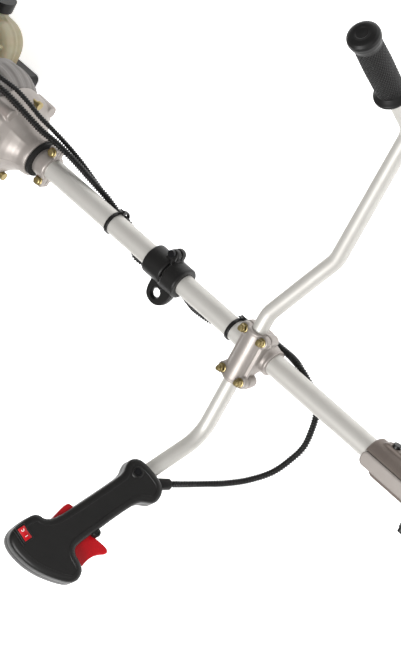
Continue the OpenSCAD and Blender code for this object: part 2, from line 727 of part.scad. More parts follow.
module trigger() color(red) in_handle() slab(-lever_t / 2, lever_t / 2) difference() {
  polygon([[11, 103], [19, 98], [30, 97], [45, 93], [50, 97], [49, 100], [45, 107], [44, 118], [46, 130],
    [44, 131], [11, 131]]);
  translate(trigger_pivot) circle(d = 4 + 2 * run);
}

module lockout_lever() color(red) in_handle() slab(-lever_t / 2, lever_t / 2) difference() {
  polygon([[-22, 104], [-20, 101], [-12, 98], [-5, 123], [-5, 133], [-14, 133], [-16, 130]]);
  translate(lockout_pivot) circle(d = 4 + 2 * run);
}

module stop_switch() color(red) in_handle() translate([switch_at[0], 0, switch_at[1]])
  slab(handle_t / 2 - handle_wall - 2, handle_t / 2 + 2) square(switch_size, center = true);

// Throttle conduit and ties
module throttle_conduit() color(black) on_shaft() sweep(conduit_route, conduit_r, 10);

tie_w = 5;

module tie(s, y, z) translate([s - tie_w / 2, 0, 0]) rotate([90, 0, 90]) {
  linear_extrude(tie_w) difference() {
    hull() {
      circle(r = tube_r + 1.6, $fn = 32);
      translate([y, z]) circle(r = conduit_r + 2.4, $fn = 32);
    }
    hull() {
      circle(r = tube_r + 0.2, $fn = 32);
      translate([y, z]) circle(r = conduit_r + 1, $fn = 32);
    }
  }
  rotate([0, 0, -27]) translate([tube_r + 3.5, 0, -0.5]) linear_extrude(tie_w + 1) square([6, 8], center = true);
}

module cable_ties() color(black) on_shaft() {
  tie(-252, 3, -18);
  tie(-44, 0, -18);
}

// Split coupler
module coupler_half(z0, z1) difference() {
  union() {
    rod_x(coupler_s, coupler_s + coupler_l, coupler_d);
    block([coupler_s + 10, -coupler_d / 2 - 3, -9], [coupler_s + coupler_l - 10, coupler_d / 2 + 1, 9]);
  }
  rod_x(coupler_s - over, coupler_s + coupler_l + over, tube_d + 2 * seat);
  block([coupler_s - 5, -60, z0], [coupler_s + coupler_l + 5, 60, z1]);
  translate([coupler_s + 24, 0, 0]) rod_y(coupler_d / 2 - 5, 40, 10 + 2 * run);
  translate([coupler_s + coupler_l - 30, 0, 0]) rod_y(-60, -tube_r - 2, 8 + 2 * run);
}

module coupler_body() color(cast) on_shaft() coupler_half(-0.2, 60);
module coupler_cover() color(cast) on_shaft() coupler_half(-60, 0.2);

module coupler_knob() color(black) on_shaft() translate([coupler_s + coupler_l - 30, 0, 0]) {
  rod_y(-coupler_d / 2 - 12, -tube_r - 2.5, 8);
  rod_y(-coupler_d / 2 - 12, -coupler_d / 2 - 3 - gap, 16);
  rod_y(-coupler_d / 2 - 28, -coupler_d / 2 - 11, 24);
  for (a = [0:60:300]) rotate([0, a, 0]) translate([11, 0, 0]) rod_y(-coupler_d / 2 - 27, -coupler_d / 2 - 13, 8);
}

module latch_button() color(black) on_shaft() translate([coupler_s + 24, 0, 0])
  rod_y(coupler_d / 2 - 0.5, coupler_d / 2 + 6, 10);

// Gearcase, guard and line head
module gearcase() color(cast) on_shaft(gear_s) difference() {
  union() {
    rod_x(-75, 0, tube_d + 14);
    sphere(r = case_bore + 6);
    rotate([0, 90 + head_tilt, 0]) rod_z(0, nose_end, 2 * case_bore + 10);
  }
  rod_x(-76, -nose_end + over, tube_d + 2 * seat);
  rod_x(-nose_end, -18, 24 + 2 * seat);
  rod_x(-19, 0, 29);
  sphere(r = case_bore + 0.3);
  rotate([0, 90 + head_tilt, 0]) rod_z(0, nose_end + over, 2 * case_bore + 2 * seat);
}

// Bevel gear teeth on the plane at the big end, shrinking to the crossing point of the axes
function gear_ring(z, n, cone, half_turn) = let (pitch = 360 / n)
  [for (i = [0:n - 1]) each [for (k = [[-0.27, -5], [-0.11, 3.5], [0.11, 3.5], [0.27, -5]])
    let (a = pitch * (i + half_turn + k[0]), r = z * tan(cone + k[1])) [r * cos(a), r * sin(a)]]];

module bevel(cone, n, half_turn) {
  z = cone_l * cos(cone);
  translate([0, 0, z]) rotate([180, 0, 0])
    linear_extrude(z * (1 - tooth_shrink), scale = tooth_shrink) polygon(gear_ring(z, n, cone, half_turn));
}

module pinion_gear() color(steel) on_shaft(gear_s) difference() {
  union() {
    rotate([0, -90, 0]) bevel(pinion_cone, pinion_teeth, 0.5);
    rod_x(-17, -cone_l * cos(pinion_cone) + 0.2, 18);
    rod_x(-42, -16, shaft_journal);
  }
  rod_x(-43, -30, shaft_d + 2 * seat);
}

module output_shaft() color(steel) at_head() {
  bevel(gear_cone, gear_teeth, 0.5);
  rod_z(cone_l * cos(gear_cone) - 0.2, 13, 22);
  rod_z(3, 55, shaft_journal);
  rod_z(54, 90, 10);
}

module guard() color(black) at_head() difference() {
  rotate([0, 0, -90]) rotate_extrude(angle = 180, $fn = 96) polygon([[28, guard_z],
    [guard_r, guard_z], [guard_r, skirt_z], [guard_r - guard_wall, skirt_z],
    [guard_r - guard_wall, guard_z + guard_wall], [28, guard_z + guard_wall]]);
  for (y = [-36, 36]) translate([50, y, 0]) rod_z(guard_z - over, guard_z + guard_wall + over, 6);
}

module guard_bracket() color(steel) at_head() {
  difference() {
    union() {
      rod_z(nose_end, nose_end + bracket_t, 74);
      rounded_block([0, -50, nose_end], [68, 50, nose_end + bracket_t], 8);
    }
    rod_z(nose_end - over, nose_end + bracket_t + over, 41);
    for (y = [-36, 36]) translate([50, y, 0]) rod_z(nose_end - over, guard_z + over, 6);
  }
  rotate([0, 0, -70]) block([guard_r - guard_wall - 3, -1, skirt_z - 26],
    [guard_r - guard_wall - 0.2, 1, skirt_z - 2]);
  for (y = [-36, 36]) translate([50, y, 0]) {
    rod_z(nose_end - 4, nose_end, 11);
    rod_z(nose_end - 0.5, guard_z + guard_wall + 2, 5.8);
  }
}

module head_housing() color(black) at_head() difference() {
  rod_z(head_top, 94, head_d);
  rod_z(head_top + 4, 95, head_d - 6);
  rod_z(head_top - over, head_top + 5, 10 + 2 * seat);
  translate([0, 0, line_z]) rod_y(-head_d, head_d, line_d + 2);
}

module bump_spool() color(red) at_head() difference() {
  union() {
    rod_z(68, 70, head_d - 12);
    rod_z(69, 89, 40);
    rod_z(88, 90, head_d - 12);
    rod_z(89, 108, 50);
    rod_z(107, 110, 38);
  }
  rod_z(67, 100, 16);
}

module trimmer_line() color("#D77A1E") at_head() translate([0, 0, line_z]) {
  rod_y(head_d / 2 - 5, line_tip, line_d);
  rod_y(-line_tip, -head_d / 2 + 5, line_d);
}

main_tube();
lower_tube();
drive_shaft_upper();
drive_shaft_lower();
shaft_bushes();
bearings();
clutch_drum();
clutch_shoes();
flywheel();
tube_collar();
isolator_bush();
clutch_housing();
fan_housing();
ignition_coil();
crankcase();
crankshaft();
piston_and_rod();
cylinder_part();  // cylinder
spark_plug();
starter_cover();
starter_pulley();
starter_handle();
muffler();
carburettor();
carb_lever();
choke_lever();
air_filter_cover();
engine_cover();
fuel_tank();
fuel_cap();
primer_bulb();
fuel_lines();
tank_stand();
housing_bolts();
harness_clamp();
black_screws();
handlebar_clamp_base();
handlebar_clamp_cap();
clamp_bolts();
handlebar();
left_grip();
throttle_handle_front();
throttle_handle_rear();
trigger();
lockout_lever();
stop_switch();
throttle_conduit();
cable_ties();
coupler_body();
coupler_cover();
coupler_knob();
latch_button();
gearcase();
pinion_gear();
output_shaft();
guard();
guard_bracket();
head_housing();
bump_spool();
trimmer_line();
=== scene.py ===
"""Builds the looks of a straight-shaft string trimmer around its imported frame."""

import json
import logging
import math
from collections.abc import Callable, Sequence
from dataclasses import dataclass, field
from enum import Enum

import bmesh
import bpy
from mathutils import Matrix, Vector

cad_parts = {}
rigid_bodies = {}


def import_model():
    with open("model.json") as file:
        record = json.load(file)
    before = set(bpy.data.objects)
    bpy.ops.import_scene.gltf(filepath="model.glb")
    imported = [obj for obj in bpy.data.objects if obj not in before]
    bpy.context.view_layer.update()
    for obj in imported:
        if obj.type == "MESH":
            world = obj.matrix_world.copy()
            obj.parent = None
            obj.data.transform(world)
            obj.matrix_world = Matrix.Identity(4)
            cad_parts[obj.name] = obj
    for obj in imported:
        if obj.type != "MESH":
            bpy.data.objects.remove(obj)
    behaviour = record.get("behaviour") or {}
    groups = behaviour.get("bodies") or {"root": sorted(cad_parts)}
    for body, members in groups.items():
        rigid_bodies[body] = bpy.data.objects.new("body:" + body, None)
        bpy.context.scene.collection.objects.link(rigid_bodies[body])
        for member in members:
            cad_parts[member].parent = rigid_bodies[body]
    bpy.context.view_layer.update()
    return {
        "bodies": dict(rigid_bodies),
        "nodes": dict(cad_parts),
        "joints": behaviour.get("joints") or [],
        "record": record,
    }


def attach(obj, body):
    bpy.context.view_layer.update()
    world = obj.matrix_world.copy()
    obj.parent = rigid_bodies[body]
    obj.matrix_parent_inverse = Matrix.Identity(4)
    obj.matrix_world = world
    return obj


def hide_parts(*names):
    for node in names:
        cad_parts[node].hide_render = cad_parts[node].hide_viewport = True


log = logging.getLogger("trimmer")

MM = 0.001
"""One millimetre in metres; sizes below are in millimetres unless they say otherwise."""
EYE_OFFSET = Vector((157.0, 31.0, 0.0))
"""From the shaft's own coordinates to the frame, whose origin is the harness eye."""
TAU = 2 * math.pi
TUBE_BORE = 13.1
"""Radius of the bores that sit on the main tube, which has a radius of 13."""
BOLT_SIDES = 6
"""A hexagon head or nut is turned with this many sides."""

Pair = tuple[float, float]
Triple = tuple[float, float, float]


# ---------------------------------------------------------------- places


@dataclass(frozen=True)
class Place:
    """A right-handed or left-handed set of axes in shaft coordinates, in millimetres."""

    origin: Vector
    u: Vector
    v: Vector
    n: Vector

    def at(self, a: float, b: float, c: float) -> Vector:
        """The frame point, in metres, that lies a, b and c along the axes."""
        point = self.origin + self.u * a + self.v * b + self.n * c
        return (point + EYE_OFFSET) * MM

    def moved(self, a: float = 0.0, b: float = 0.0, c: float = 0.0) -> "Place":
        """The same axes with their origin moved along them."""
        return Place(
            self.origin + self.u * a + self.v * b + self.n * c, self.u, self.v, self.n
        )

    def turned(self, angle: float) -> "Place":
        """The same place turned about its own n axis by an angle in degrees."""
        spin = Matrix.Rotation(math.radians(angle), 3, self.n)
        return Place(self.origin, spin @ self.u, spin @ self.v, self.n)


def axes(origin: Triple, n: Triple, hint: Triple) -> Place:
    """Makes a place whose n axis has one direction and whose u axis leans to another.

    Args:
        origin: Its origin in shaft coordinates.
        n: The direction of its n axis.
        hint: A direction that its u axis comes as near to as it can.

    Returns:
        The right-handed place.
    """
    axis = Vector(n).normalized()
    u = Vector(hint) - axis * axis.dot(Vector(hint))
    u.normalize()
    return Place(Vector(origin), u, axis.cross(u), axis)


SHAFT = axes((0, 0, 0), (0, 0, 1), (1, 0, 0))
ALONG = axes((0, 0, 0), (1, 0, 0), (0, 1, 0))
"""Its n axis runs along the shaft, u to the operator's left and v up."""


# ---------------------------------------------------------------- meshes


def mesh_object(
    name: str, points: Sequence[Vector], faces: Sequence[Sequence[int]]
) -> bpy.types.Object:
    """Makes an object from points and faces, with its faces turned outwards.

    Args:
        name: The object's name.
        points: Its vertices in the frame, in metres.
        faces: Its faces as vertex numbers.

    Returns:
        The object, linked to the scene.
    """
    mesh = bpy.data.meshes.new(name)
    mesh.from_pydata([tuple(p) for p in points], [], [tuple(f) for f in faces])
    worked = bmesh.new()
    worked.from_mesh(mesh)
    bmesh.ops.remove_doubles(worked, verts=worked.verts, dist=1e-6)
    bmesh.ops.recalc_face_normals(worked, faces=worked.faces)
    worked.to_mesh(mesh)
    worked.free()
    made = bpy.data.objects.new(name, mesh)
    bpy.context.scene.collection.objects.link(made)
    return made


def skin(
    name: str, rings: Sequence[Sequence[Vector]], looped: bool = False
) -> bpy.types.Object:
    """Joins rings of points into one closed skin.

    Args:
        name: The object's name.
        rings: Rings with the same number of points.
        looped: Whether the last ring joins the first, instead of both being capped.

    Returns:
        The object.
    """
    count = len(rings[0])
    points = [p for ring in rings for p in ring]
    spans = len(rings) if looped else len(rings) - 1
    faces: list[Sequence[int]] = []
    for i in range(spans):
        low, high = i * count, ((i + 1) % len(rings)) * count
        for k in range(count):
            after = (k + 1) % count
            faces.append((low + k, low + after, high + after, high + k))
    if not looped:
        faces.append(range(count))
        faces.append(range(len(points) - count, len(points)))
    return mesh_object(name, points, faces)


def soften(piece: bpy.types.Object, angle: float = 35.0) -> bpy.types.Object:
    """Shades a piece smooth, apart from edges sharper than an angle in degrees.

    Args:
        piece: The piece.
        angle: The sharpest edge that is still shaded smooth.

    Returns:
        The same piece.
    """
    worked = bmesh.new()
    worked.from_mesh(piece.data)
    limit = math.radians(angle)
    for edge in worked.edges:
        edge.smooth = len(edge.link_faces) == 2 and edge.calc_face_angle() < limit
    for face in worked.faces:
        face.smooth = True
    worked.to_mesh(piece.data)
    worked.free()
    return piece


def lathe(
    name: str,
    place: Place,
    profile: Sequence[Pair],
    segments: int = 96,
    looped: bool = False,
    relief: Callable[[float, float], float] | None = None,
) -> bpy.types.Object:
    """Turns a profile about a place's n axis.

    Args:
        name: The object's name.
        place: Where the axis is.
        profile: Points of (distance along the axis, radius).
        segments: How many sides the turned piece has.
        looped: Whether the profile is a closed loop, as for a ring.
        relief: What to add to the radius at a distance and an angle in radians.

    Returns:
        The object.
    """
    rings = []
    for along, radius in profile:
        ring = []
        for k in range(segments):
            angle = TAU * k / segments
            reach = radius + (relief(along, angle) if relief else 0.0)
            ring.append(
                place.at(reach * math.cos(angle), reach * math.sin(angle), along)
            )
        rings.append(ring)
    return skin(name, rings, looped)


def rounded_steps(profile: Sequence[Pair], step: float) -> list[Pair]:
    """Adds points to a profile so that none are further apart than a step.

    Args:
        profile: The points of the profile.
        step: The furthest that two points may be apart.

    Returns:
        The finer profile.
    """
    made: list[Pair] = []
    for (a, r), (b, q) in zip(profile, profile[1:]):
        count = max(1, math.ceil(math.hypot(b - a, q - r) / step))
        made += [
            (a + (b - a) * i / count, r + (q - r) * i / count) for i in range(count)
        ]
    return made + [profile[-1]]


def curved(outline: Sequence[Pair], passes: int = 3) -> list[Pair]:
    """Cuts the corners of a closed outline until it is a smooth curve.

    Args:
        outline: The closed outline.
        passes: How often every corner is cut.

    Returns:
        The smooth outline.
    """
    points = list(outline)
    for _ in range(passes):
        cut: list[Pair] = []
        for (ax, ay), (bx, by) in zip(points, points[1:] + points[:1]):
            cut.append((ax * 0.75 + bx * 0.25, ay * 0.75 + by * 0.25))
            cut.append((ax * 0.25 + bx * 0.75, ay * 0.25 + by * 0.75))
        points = cut
    return points


def inset(outline: Sequence[Pair], distance: float) -> list[Pair]:
    """Moves every side of a closed outline inwards by a distance.

    Args:
        outline: The closed outline.
        distance: How far; below zero it moves outwards.

    Returns:
        The moved outline, with as many points.
    """
    turn = sum(
        ax * by - bx * ay
        for (ax, ay), (bx, by) in zip(outline, list(outline[1:]) + [outline[0]])
    )
    sign = 1.0 if turn > 0 else -1.0
    made = []
    for i, (x, y) in enumerate(outline):
        ax, ay = outline[i - 1]
        bx, by = outline[(i + 1) % len(outline)]
        tx, ty = bx - ax, by - ay
        long = math.hypot(tx, ty) or 1.0
        made.append((x - sign * ty / long * distance, y + sign * tx / long * distance))
    return made


def box_outline(low: Pair, high: Pair, corner: float) -> list[Pair]:
    """Draws a rectangle with round corners.

    Args:
        low: Its lower left corner.
        high: Its upper right corner.
        corner: The radius of its corners.

    Returns:
        The closed outline.
    """
    made = []
    for cx, cy, start in (
        (high[0] - corner, high[1] - corner, 0),
        (low[0] + corner, high[1] - corner, 90),
        (low[0] + corner, low[1] + corner, 180),
        (high[0] - corner, low[1] + corner, 270),
    ):
        for i in range(7):
            angle = math.radians(start + 15 * i)
            made.append((cx + corner * math.cos(angle), cy + corner * math.sin(angle)))
    return made


def slab(
    name: str,
    place: Place,
    outline: Sequence[Pair],
    low: float,
    high: float,
    rims: Pair = (0.6, 0.6),
    dish: Pair | None = None,
) -> bpy.types.Object:
    """Makes a flat piece with round rims from an outline.

    Args:
        name: The object's name.
        place: The outline lies on u and v, and the thickness is along n.
        outline: The closed outline.
        low: Where the piece starts along n.
        high: Where it ends.
        rims: The radii of the rims at low and at high.
        dish: The width of a raised border at high and the depth inside it.

    Returns:
        The object.
    """
    bottom, top = rims
    levels: list[Pair] = []
    for i in range(5):
        angle = math.radians(90 * i / 4)
        levels.append(
            (low + bottom * (1 - math.sin(angle)), bottom * (1 - math.cos(angle)))
        )
    levels.reverse()
    for i in range(5):
        angle = math.radians(90 * i / 4)
        levels.append(
            (high - top * (1 - math.sin(angle)), top * (1 - math.cos(angle)))
        )
    if dish:
        border, depth = dish
        levels += [(high, top + border), (high - depth, top + border + depth)]
    rings = []
    for level, move in levels:
        ring = inset(outline, move)
        rings.append([place.at(x, y, level) for x, y in ring])
    return skin(name, rings)


def filleted(corners: Sequence[Vector], radii: Sequence[float]) -> list[Vector]:
    """Rounds the corners of a line.

    Args:
        corners: The line's corners, in millimetres.
        radii: The bend radius at each corner; the two ends have none.

    Returns:
        Points along the rounded line, in millimetres.
    """
    made = [corners[0]]
    for i in range(1, len(corners) - 1):
        a = (corners[i] - corners[i - 1]).normalized()
        b = (corners[i + 1] - corners[i]).normalized()
        angle = a.angle(b)
        inward = (b - a * a.dot(b)).normalized()
        start = corners[i] - a * radii[i] * math.tan(angle / 2)
        steps = max(4, round(math.degrees(angle) / 3))
        for k in range(steps + 1):
            t = angle * k / steps
            made.append(
                start + a * radii[i] * math.sin(t) + inward * radii[i] * (1 - math.cos(t))
            )
    return made + [corners[-1]]


def evenly(points: Sequence[Vector], step: float) -> list[Vector]:
    """Puts points along a line at one step, so that a pattern on it is regular.

    Args:
        points: The line's points.
        step: The distance from one new point to the next.

    Returns:
        The new points.
    """
    made = [points[0]]
    left = step
    for a, b in zip(points, points[1:]):
        span = (b - a).length
        while left <= span:
            made.append(a.lerp(b, left / span))
            left += step
        left -= span
    return made


def through(points: Sequence[Vector], parts: int = 12) -> list[Vector]:
    """Draws a smooth line through given points.

    Args:
        points: The points that it passes through.
        parts: How many steps it takes from one to the next.

    Returns:
        The line's points.
    """
    made: list[Vector] = []
    for i in range(len(points) - 1):
        a, b, c = points[max(i - 1, 0)], points[i], points[i + 1]
        d = points[min(i + 2, len(points) - 1)]
        for k in range(parts):
            t = k / parts
            made.append(
                (
                    b * 2
                    + (c - a) * t
                    + (a * 2 - b * 5 + c * 4 - d) * t * t
                    + (b * 3 - a - c * 3 + d) * t * t * t
                )
                * 0.5
            )
    return made + [points[-1]]


def tube(
    name: str,
    line: Sequence[Vector],
    radius: Callable[[int], float],
    segments: int = 24,
) -> bpy.types.Object:
    """Sweeps a circle along a line without twisting it.

    The vertices keep where they were on the straight tube, as the attribute
    "drawn", so that a finish can follow the tube round its bends.

    Args:
        name: The object's name.
        line: The centre line in shaft coordinates, in millimetres.
        radius: The radius at each of its points.
        segments: How many sides the tube has.

    Returns:
        The object.
    """
    heading = (line[1] - line[0]).normalized()
    side = heading.orthogonal().normalized()
    rings: list[list[Vector]] = []
    drawn: list[float] = []
    run = 0.0
    for i, centre in enumerate(line):
        ahead = (
            line[min(i + 1, len(line) - 1)] - line[max(i - 1, 0)]
        ).normalized()
        side = (side - ahead * ahead.dot(side)).normalized()
        other = ahead.cross(side)
        run += (centre - line[i - 1]).length if i else 0.0
        ring = []
        for k in range(segments):
            angle = TAU * k / segments
            across, up = radius(i) * math.cos(angle), radius(i) * math.sin(angle)
            ring.append((centre + side * across + other * up + EYE_OFFSET) * MM)
            drawn += [run * MM, across * MM, up * MM]
        rings.append(ring)
    made = skin(name, rings)
    kept = made.data.attributes.new("drawn", "FLOAT_VECTOR", "POINT")
    if len(made.data.vertices) * 3 == len(drawn):
        kept.data.foreach_set("vector", drawn)
    return made


def joined(name: str, parts: Sequence[bpy.types.Object]) -> bpy.types.Object:
    """Puts several meshes into one object and removes them.

    Args:
        name: The new object's name.
        parts: The meshes.

    Returns:
        The object that holds them all.
    """
    worked = bmesh.new()
    for part in parts:
        worked.from_mesh(part.data)
    mesh = bpy.data.meshes.new(name)
    worked.to_mesh(mesh)
    worked.free()
    for part in parts:
        bpy.data.objects.remove(part)
    made = bpy.data.objects.new(name, mesh)
    bpy.context.scene.collection.objects.link(made)
    return made


def applied(piece: bpy.types.Object) -> bpy.types.Object:
    """Turns a piece's modifiers into its mesh.

    Args:
        piece: The piece.

    Returns:
        The same piece.
    """
    graph = bpy.context.evaluated_depsgraph_get()
    mesh = bpy.data.meshes.new_from_object(piece.evaluated_get(graph))
    piece.modifiers.clear()
    piece.data = mesh
    return piece


def cut(
    piece: bpy.types.Object, cutters: Sequence[bpy.types.Object]
) -> bpy.types.Object:
    """Cuts the cutters' shapes out of a piece and removes them.

    Args:
        piece: The piece.
        cutters: Closed meshes.

    Returns:
        The same piece.
    """
    for cutter in cutters:
        step = piece.modifiers.new("cut", "BOOLEAN")
        step.operation = "DIFFERENCE"
        step.solver = "EXACT"
        step.object = cutter
    applied(piece)
    for cutter in cutters:
        bpy.data.objects.remove(cutter)
    return piece


def cast_as_one(
    name: str, parts: Sequence[bpy.types.Object], grid: float, passes: int = 3
) -> bpy.types.Object:
    """Melts closed meshes into one casting with small fillets where they meet.

    Args:
        name: The object's name.
        parts: The closed meshes.
        grid: How fine the casting's surface is.
        passes: How often the fillets are smoothed.

    Returns:
        The object.
    """
    made = joined(name, parts)
    melt = made.modifiers.new("melt", "REMESH")
    melt.mode = "VOXEL"
    melt.voxel_size = grid * MM
    soft = made.modifiers.new("soft", "SMOOTH")
    soft.factor = 0.5
    soft.iterations = passes
    return applied(made)


# ---------------------------------------------------------------- finishes


def linear(shade: str) -> tuple[float, float, float, float]:
    """Turns an sRGB hex colour into a linear one.

    Args:
        shade: The colour, as in "#C9C7C2".

    Returns:
        Its linear red, green and blue, and an alpha of one.
    """
    values = [int(shade[i : i + 2], 16) / 255 for i in (1, 3, 5)]
    turned = [
        v / 12.92 if v <= 0.04045 else ((v + 0.055) / 1.055) ** 2.4 for v in values
    ]
    return (turned[0], turned[1], turned[2], 1.0)


def per_metre(size: float) -> float:
    """The scale of a pattern whose grains are a size in millimetres apart."""
    return 1 / (size * MM)


def add(
    tree: bpy.types.NodeTree,
    kind: str,
    settings: dict[str, object] | None = None,
    inputs: dict[str | int, object] | None = None,
) -> bpy.types.Node:
    """Adds a node with its settings, and gives its inputs a value or a link.

    Args:
        tree: The node tree.
        kind: The node's type name.
        settings: The node's own properties.
        inputs: For an input's name or number, a value or the socket to link.

    Returns:
        The node.
    """
    node = tree.nodes.new(kind)
    for key, value in (settings or {}).items():
        setattr(node, key, value)
    for key, value in (inputs or {}).items():
        if isinstance(value, bpy.types.NodeSocket):
            tree.links.new(value, node.inputs[key])
        else:
            node.inputs[key].default_value = value
    return node


class Source(Enum):
    """Where a finish takes its pattern's coordinates from."""

    FRAME = "the frame's own coordinates"
    DRAWN = "the straight tube that was bent"


class Relief(Enum):
    """The fine shape of a finish's surface."""

    GRAIN = "even grain"
    LINES = "lines along the part from drawing or turning"


@dataclass(frozen=True)
class Finish:
    """A real material and how its surface was made."""

    name: str
    slot: str
    shade: str
    patch_shade: str
    roughness: float
    grain: float
    depth: float
    patch: float = 22.0
    metallic: float = 0.0
    ior: float = 1.5
    specular: float = 0.5
    spread: float = 0.06
    coat: float = 0.0
    coat_roughness: float = 0.1
    subsurface: float = 0.0
    transmission: float = 0.0
    edge: float = 0.0
    relief: Relief = Relief.GRAIN
    source: Source = Source.FRAME
    stretch: Triple = (1.0, 1.0, 1.0)

    def material(self) -> bpy.types.Material:
        """Builds the node tree, or gives the one built before."""
        made = bpy.data.materials.get(self.name)
        if made:
            return made
        made = bpy.data.materials.new(self.name)
        made.use_nodes = True
        tree = made.node_tree
        tree.nodes.clear()
        place = self._place(tree)
        patches = add(
            tree,
            "ShaderNodeTexNoise",
            None,
            {"Vector": place, "Scale": per_metre(self.patch), "Detail": 3.0},
        )
        colour = add(
            tree,
            "ShaderNodeMix",
            {"data_type": "RGBA"},
            {
                0: patches.outputs["Fac"],
                6: linear(self.shade),
                7: linear(self.patch_shade),
            },
        )
        height = self._height(tree, place)
        gloss = add(
            tree,
            "ShaderNodeMapRange",
            None,
            {
                "Value": patches.outputs["Fac"],
                "To Min": max(0.02, self.roughness - self.spread),
                "To Max": min(1.0, self.roughness + self.spread),
            },
        )
        inputs: dict[str | int, object] = {
            "Height": height,
            "Distance": self.depth * MM,
            "Strength": 1.0,
        }
        if self.edge:
            rounding = add(
                tree, "ShaderNodeBevel", {"samples": 6}, {"Radius": self.edge * MM}
            )
            inputs["Normal"] = rounding.outputs["Normal"]
        bump = add(tree, "ShaderNodeBump", None, inputs)
        shader = add(
            tree,
            "ShaderNodeBsdfPrincipled",
            None,
            {
                "Base Color": colour.outputs[2],
                "Roughness": gloss.outputs["Result"],
                "Normal": bump.outputs["Normal"],
            },
        )
        fixed = {
            "Metallic": self.metallic,
            "IOR": self.ior,
            "Specular IOR Level": self.specular,
            "Coat Weight": self.coat,
            "Coat Roughness": self.coat_roughness,
            "Transmission Weight": self.transmission,
            "Subsurface Weight": self.subsurface,
            "Subsurface Scale": 4 * MM,
        }
        for socket, value in fixed.items():
            shader.inputs[socket].default_value = value
        add(
            tree,
            "ShaderNodeOutputMaterial",
            None,
            {"Surface": shader.outputs["BSDF"]},
        )
        return made

    def _place(self, tree: bpy.types.NodeTree) -> bpy.types.NodeSocket:
        """Adds the pattern's coordinates, in metres.

        Args:
            tree: The material's node tree.

        Returns:
            The socket that gives them.
        """
        if self.source is Source.DRAWN:
            node = add(tree, "ShaderNodeAttribute", {"attribute_name": "drawn"})
            return node.outputs["Vector"]
        return add(tree, "ShaderNodeTexCoord").outputs["Object"]

    def _height(
        self, tree: bpy.types.NodeTree, place: bpy.types.NodeSocket
    ) -> bpy.types.NodeSocket:
        """Adds the fine shape of the surface.

        Args:
            tree: The material's node tree.
            place: The pattern's coordinates.

        Returns:
            The socket that gives the height, from 0 to 1.
        """
        if self.relief is Relief.LINES:
            drawn = add(
                tree,
                "ShaderNodeMapping",
                None,
                {"Vector": place, "Scale": self.stretch},
            )
            place = drawn.outputs["Vector"]
        grain = add(
            tree,
            "ShaderNodeTexNoise",
            None,
            {"Vector": place, "Scale": per_metre(self.grain), "Detail": 2.0},
        )
        return grain.outputs["Fac"]


# Satin anodised aluminium tube: drawn, so faint lines run along it, and the dye-free
# anodising turns the metal's shine into a warm grey sheen.
ANODISED = Finish(
    "anodised_aluminium",
    "anodised_tube",
    "#C9C7C2",
    "#BDBAB5",
    roughness=0.5,
    grain=0.5,
    depth=0.012,
    metallic=0.45,
    relief=Relief.LINES,
    stretch=(0.02, 1.0, 1.0),
)
BENT_ANODISED = Finish(
    "anodised_aluminium_bent",
    "anodised_tube",
    "#C9C7C2",
    "#BDBAB5",
    roughness=0.5,
    grain=0.5,
    depth=0.012,
    metallic=0.45,
    relief=Relief.LINES,
    source=Source.DRAWN,
    stretch=(0.02, 1.0, 1.0),
)
# Die-cast aluminium, bead blasted and lacquered: dull and finely pitted. The pits of
# 0.2 mm are drawn at 0.7 mm so that they show.
DIE_CAST = Finish(
    "die_cast_aluminium",
    "cast_aluminium",
    "#A9A29D",
    "#938C87",
    roughness=0.45,
    grain=0.7,
    depth=0.06,
    metallic=0.5,
    spread=0.1,
    edge=0.8,
)
# The same alloy in a darker brown-grey, which is painted shade on the coupler's barrel.
PAINTED_SHADE_CAST = Finish(
    "painted_shade_cast_aluminium",
    "cast_aluminium",
    "#7D736C",
    "#6B615B",
    roughness=0.45,
    grain=0.7,
    depth=0.06,
    metallic=0.5,
    spread=0.1,
    edge=0.8,
)
# Grey powder-coated casting of the engine: an orange-peel skin with a soft shine.
PAINTED_CASTING = Finish(
    "grey_painted_casting",
    "fan_grey",
    "#7E7A77",
    "#706C69",
    roughness=0.5,
    grain=1.6,
    depth=0.05,
    metallic=0.3,
    edge=0.8,
)
# Turned and ground steel, lightly oiled.
MACHINED_STEEL = Finish(
    "machined_steel",
    "steel",
    "#A5A5A6",
    "#8F8F91",
    roughness=0.3,
    grain=0.35,
    depth=0.01,
    metallic=1.0,
    edge=0.3,
)
# Yellow passivated zinc plating on bolts: a pale gold with faint green and pink.
YELLOW_ZINC = Finish(
    "yellow_zinc_plate",
    "zinc_bolt",
    "#B3A172",
    "#6F6340",
    roughness=0.34,
    grain=0.4,
    depth=0.03,
    patch=1.6,
    metallic=0.9,
    edge=0.3,
)
# Black oxide on small socket and tapping screws: oily dark steel.
BLACK_OXIDE = Finish(
    "black_oxide_steel",
    "black_screw",
    "#2A2A2C",
    "#1D1D1F",
    roughness=0.35,
    grain=0.4,
    depth=0.01,
    metallic=0.9,
    edge=0.3,
)
# Glass-filled nylon, moulded against a spark-eroded tool: fine matt leather grain of
# 0.3 mm, drawn at 0.8 mm.
BLACK_NYLON = Finish(
    "black_glass_filled_nylon",
    "black_plastic",
    "#0B0A0A",
    "#121110",
    roughness=0.42,
    grain=0.8,
    depth=0.03,
    ior=1.53,
    specular=0.3,
    edge=0.8,
)
# Soft PVC grip: a greasy black sheen between the diamonds of its knurling.
GRIP_RUBBER = Finish(
    "black_grip_rubber",
    "grip_rubber",
    "#0A0A0A",
    "#100F0F",
    roughness=0.45,
    grain=0.5,
    depth=0.03,
    ior=1.52,
    specular=0.3,
)
# Vulcanised natural rubber of the anti-vibration bush: dead matt with a grey bloom.
BUSH_RUBBER = Finish(
    "vulcanised_rubber",
    "isolator_rubber",
    "#0E0E0E",
    "#1A1919",
    roughness=0.7,
    grain=0.6,
    depth=0.03,
    ior=1.52,
    specular=0.3,
)
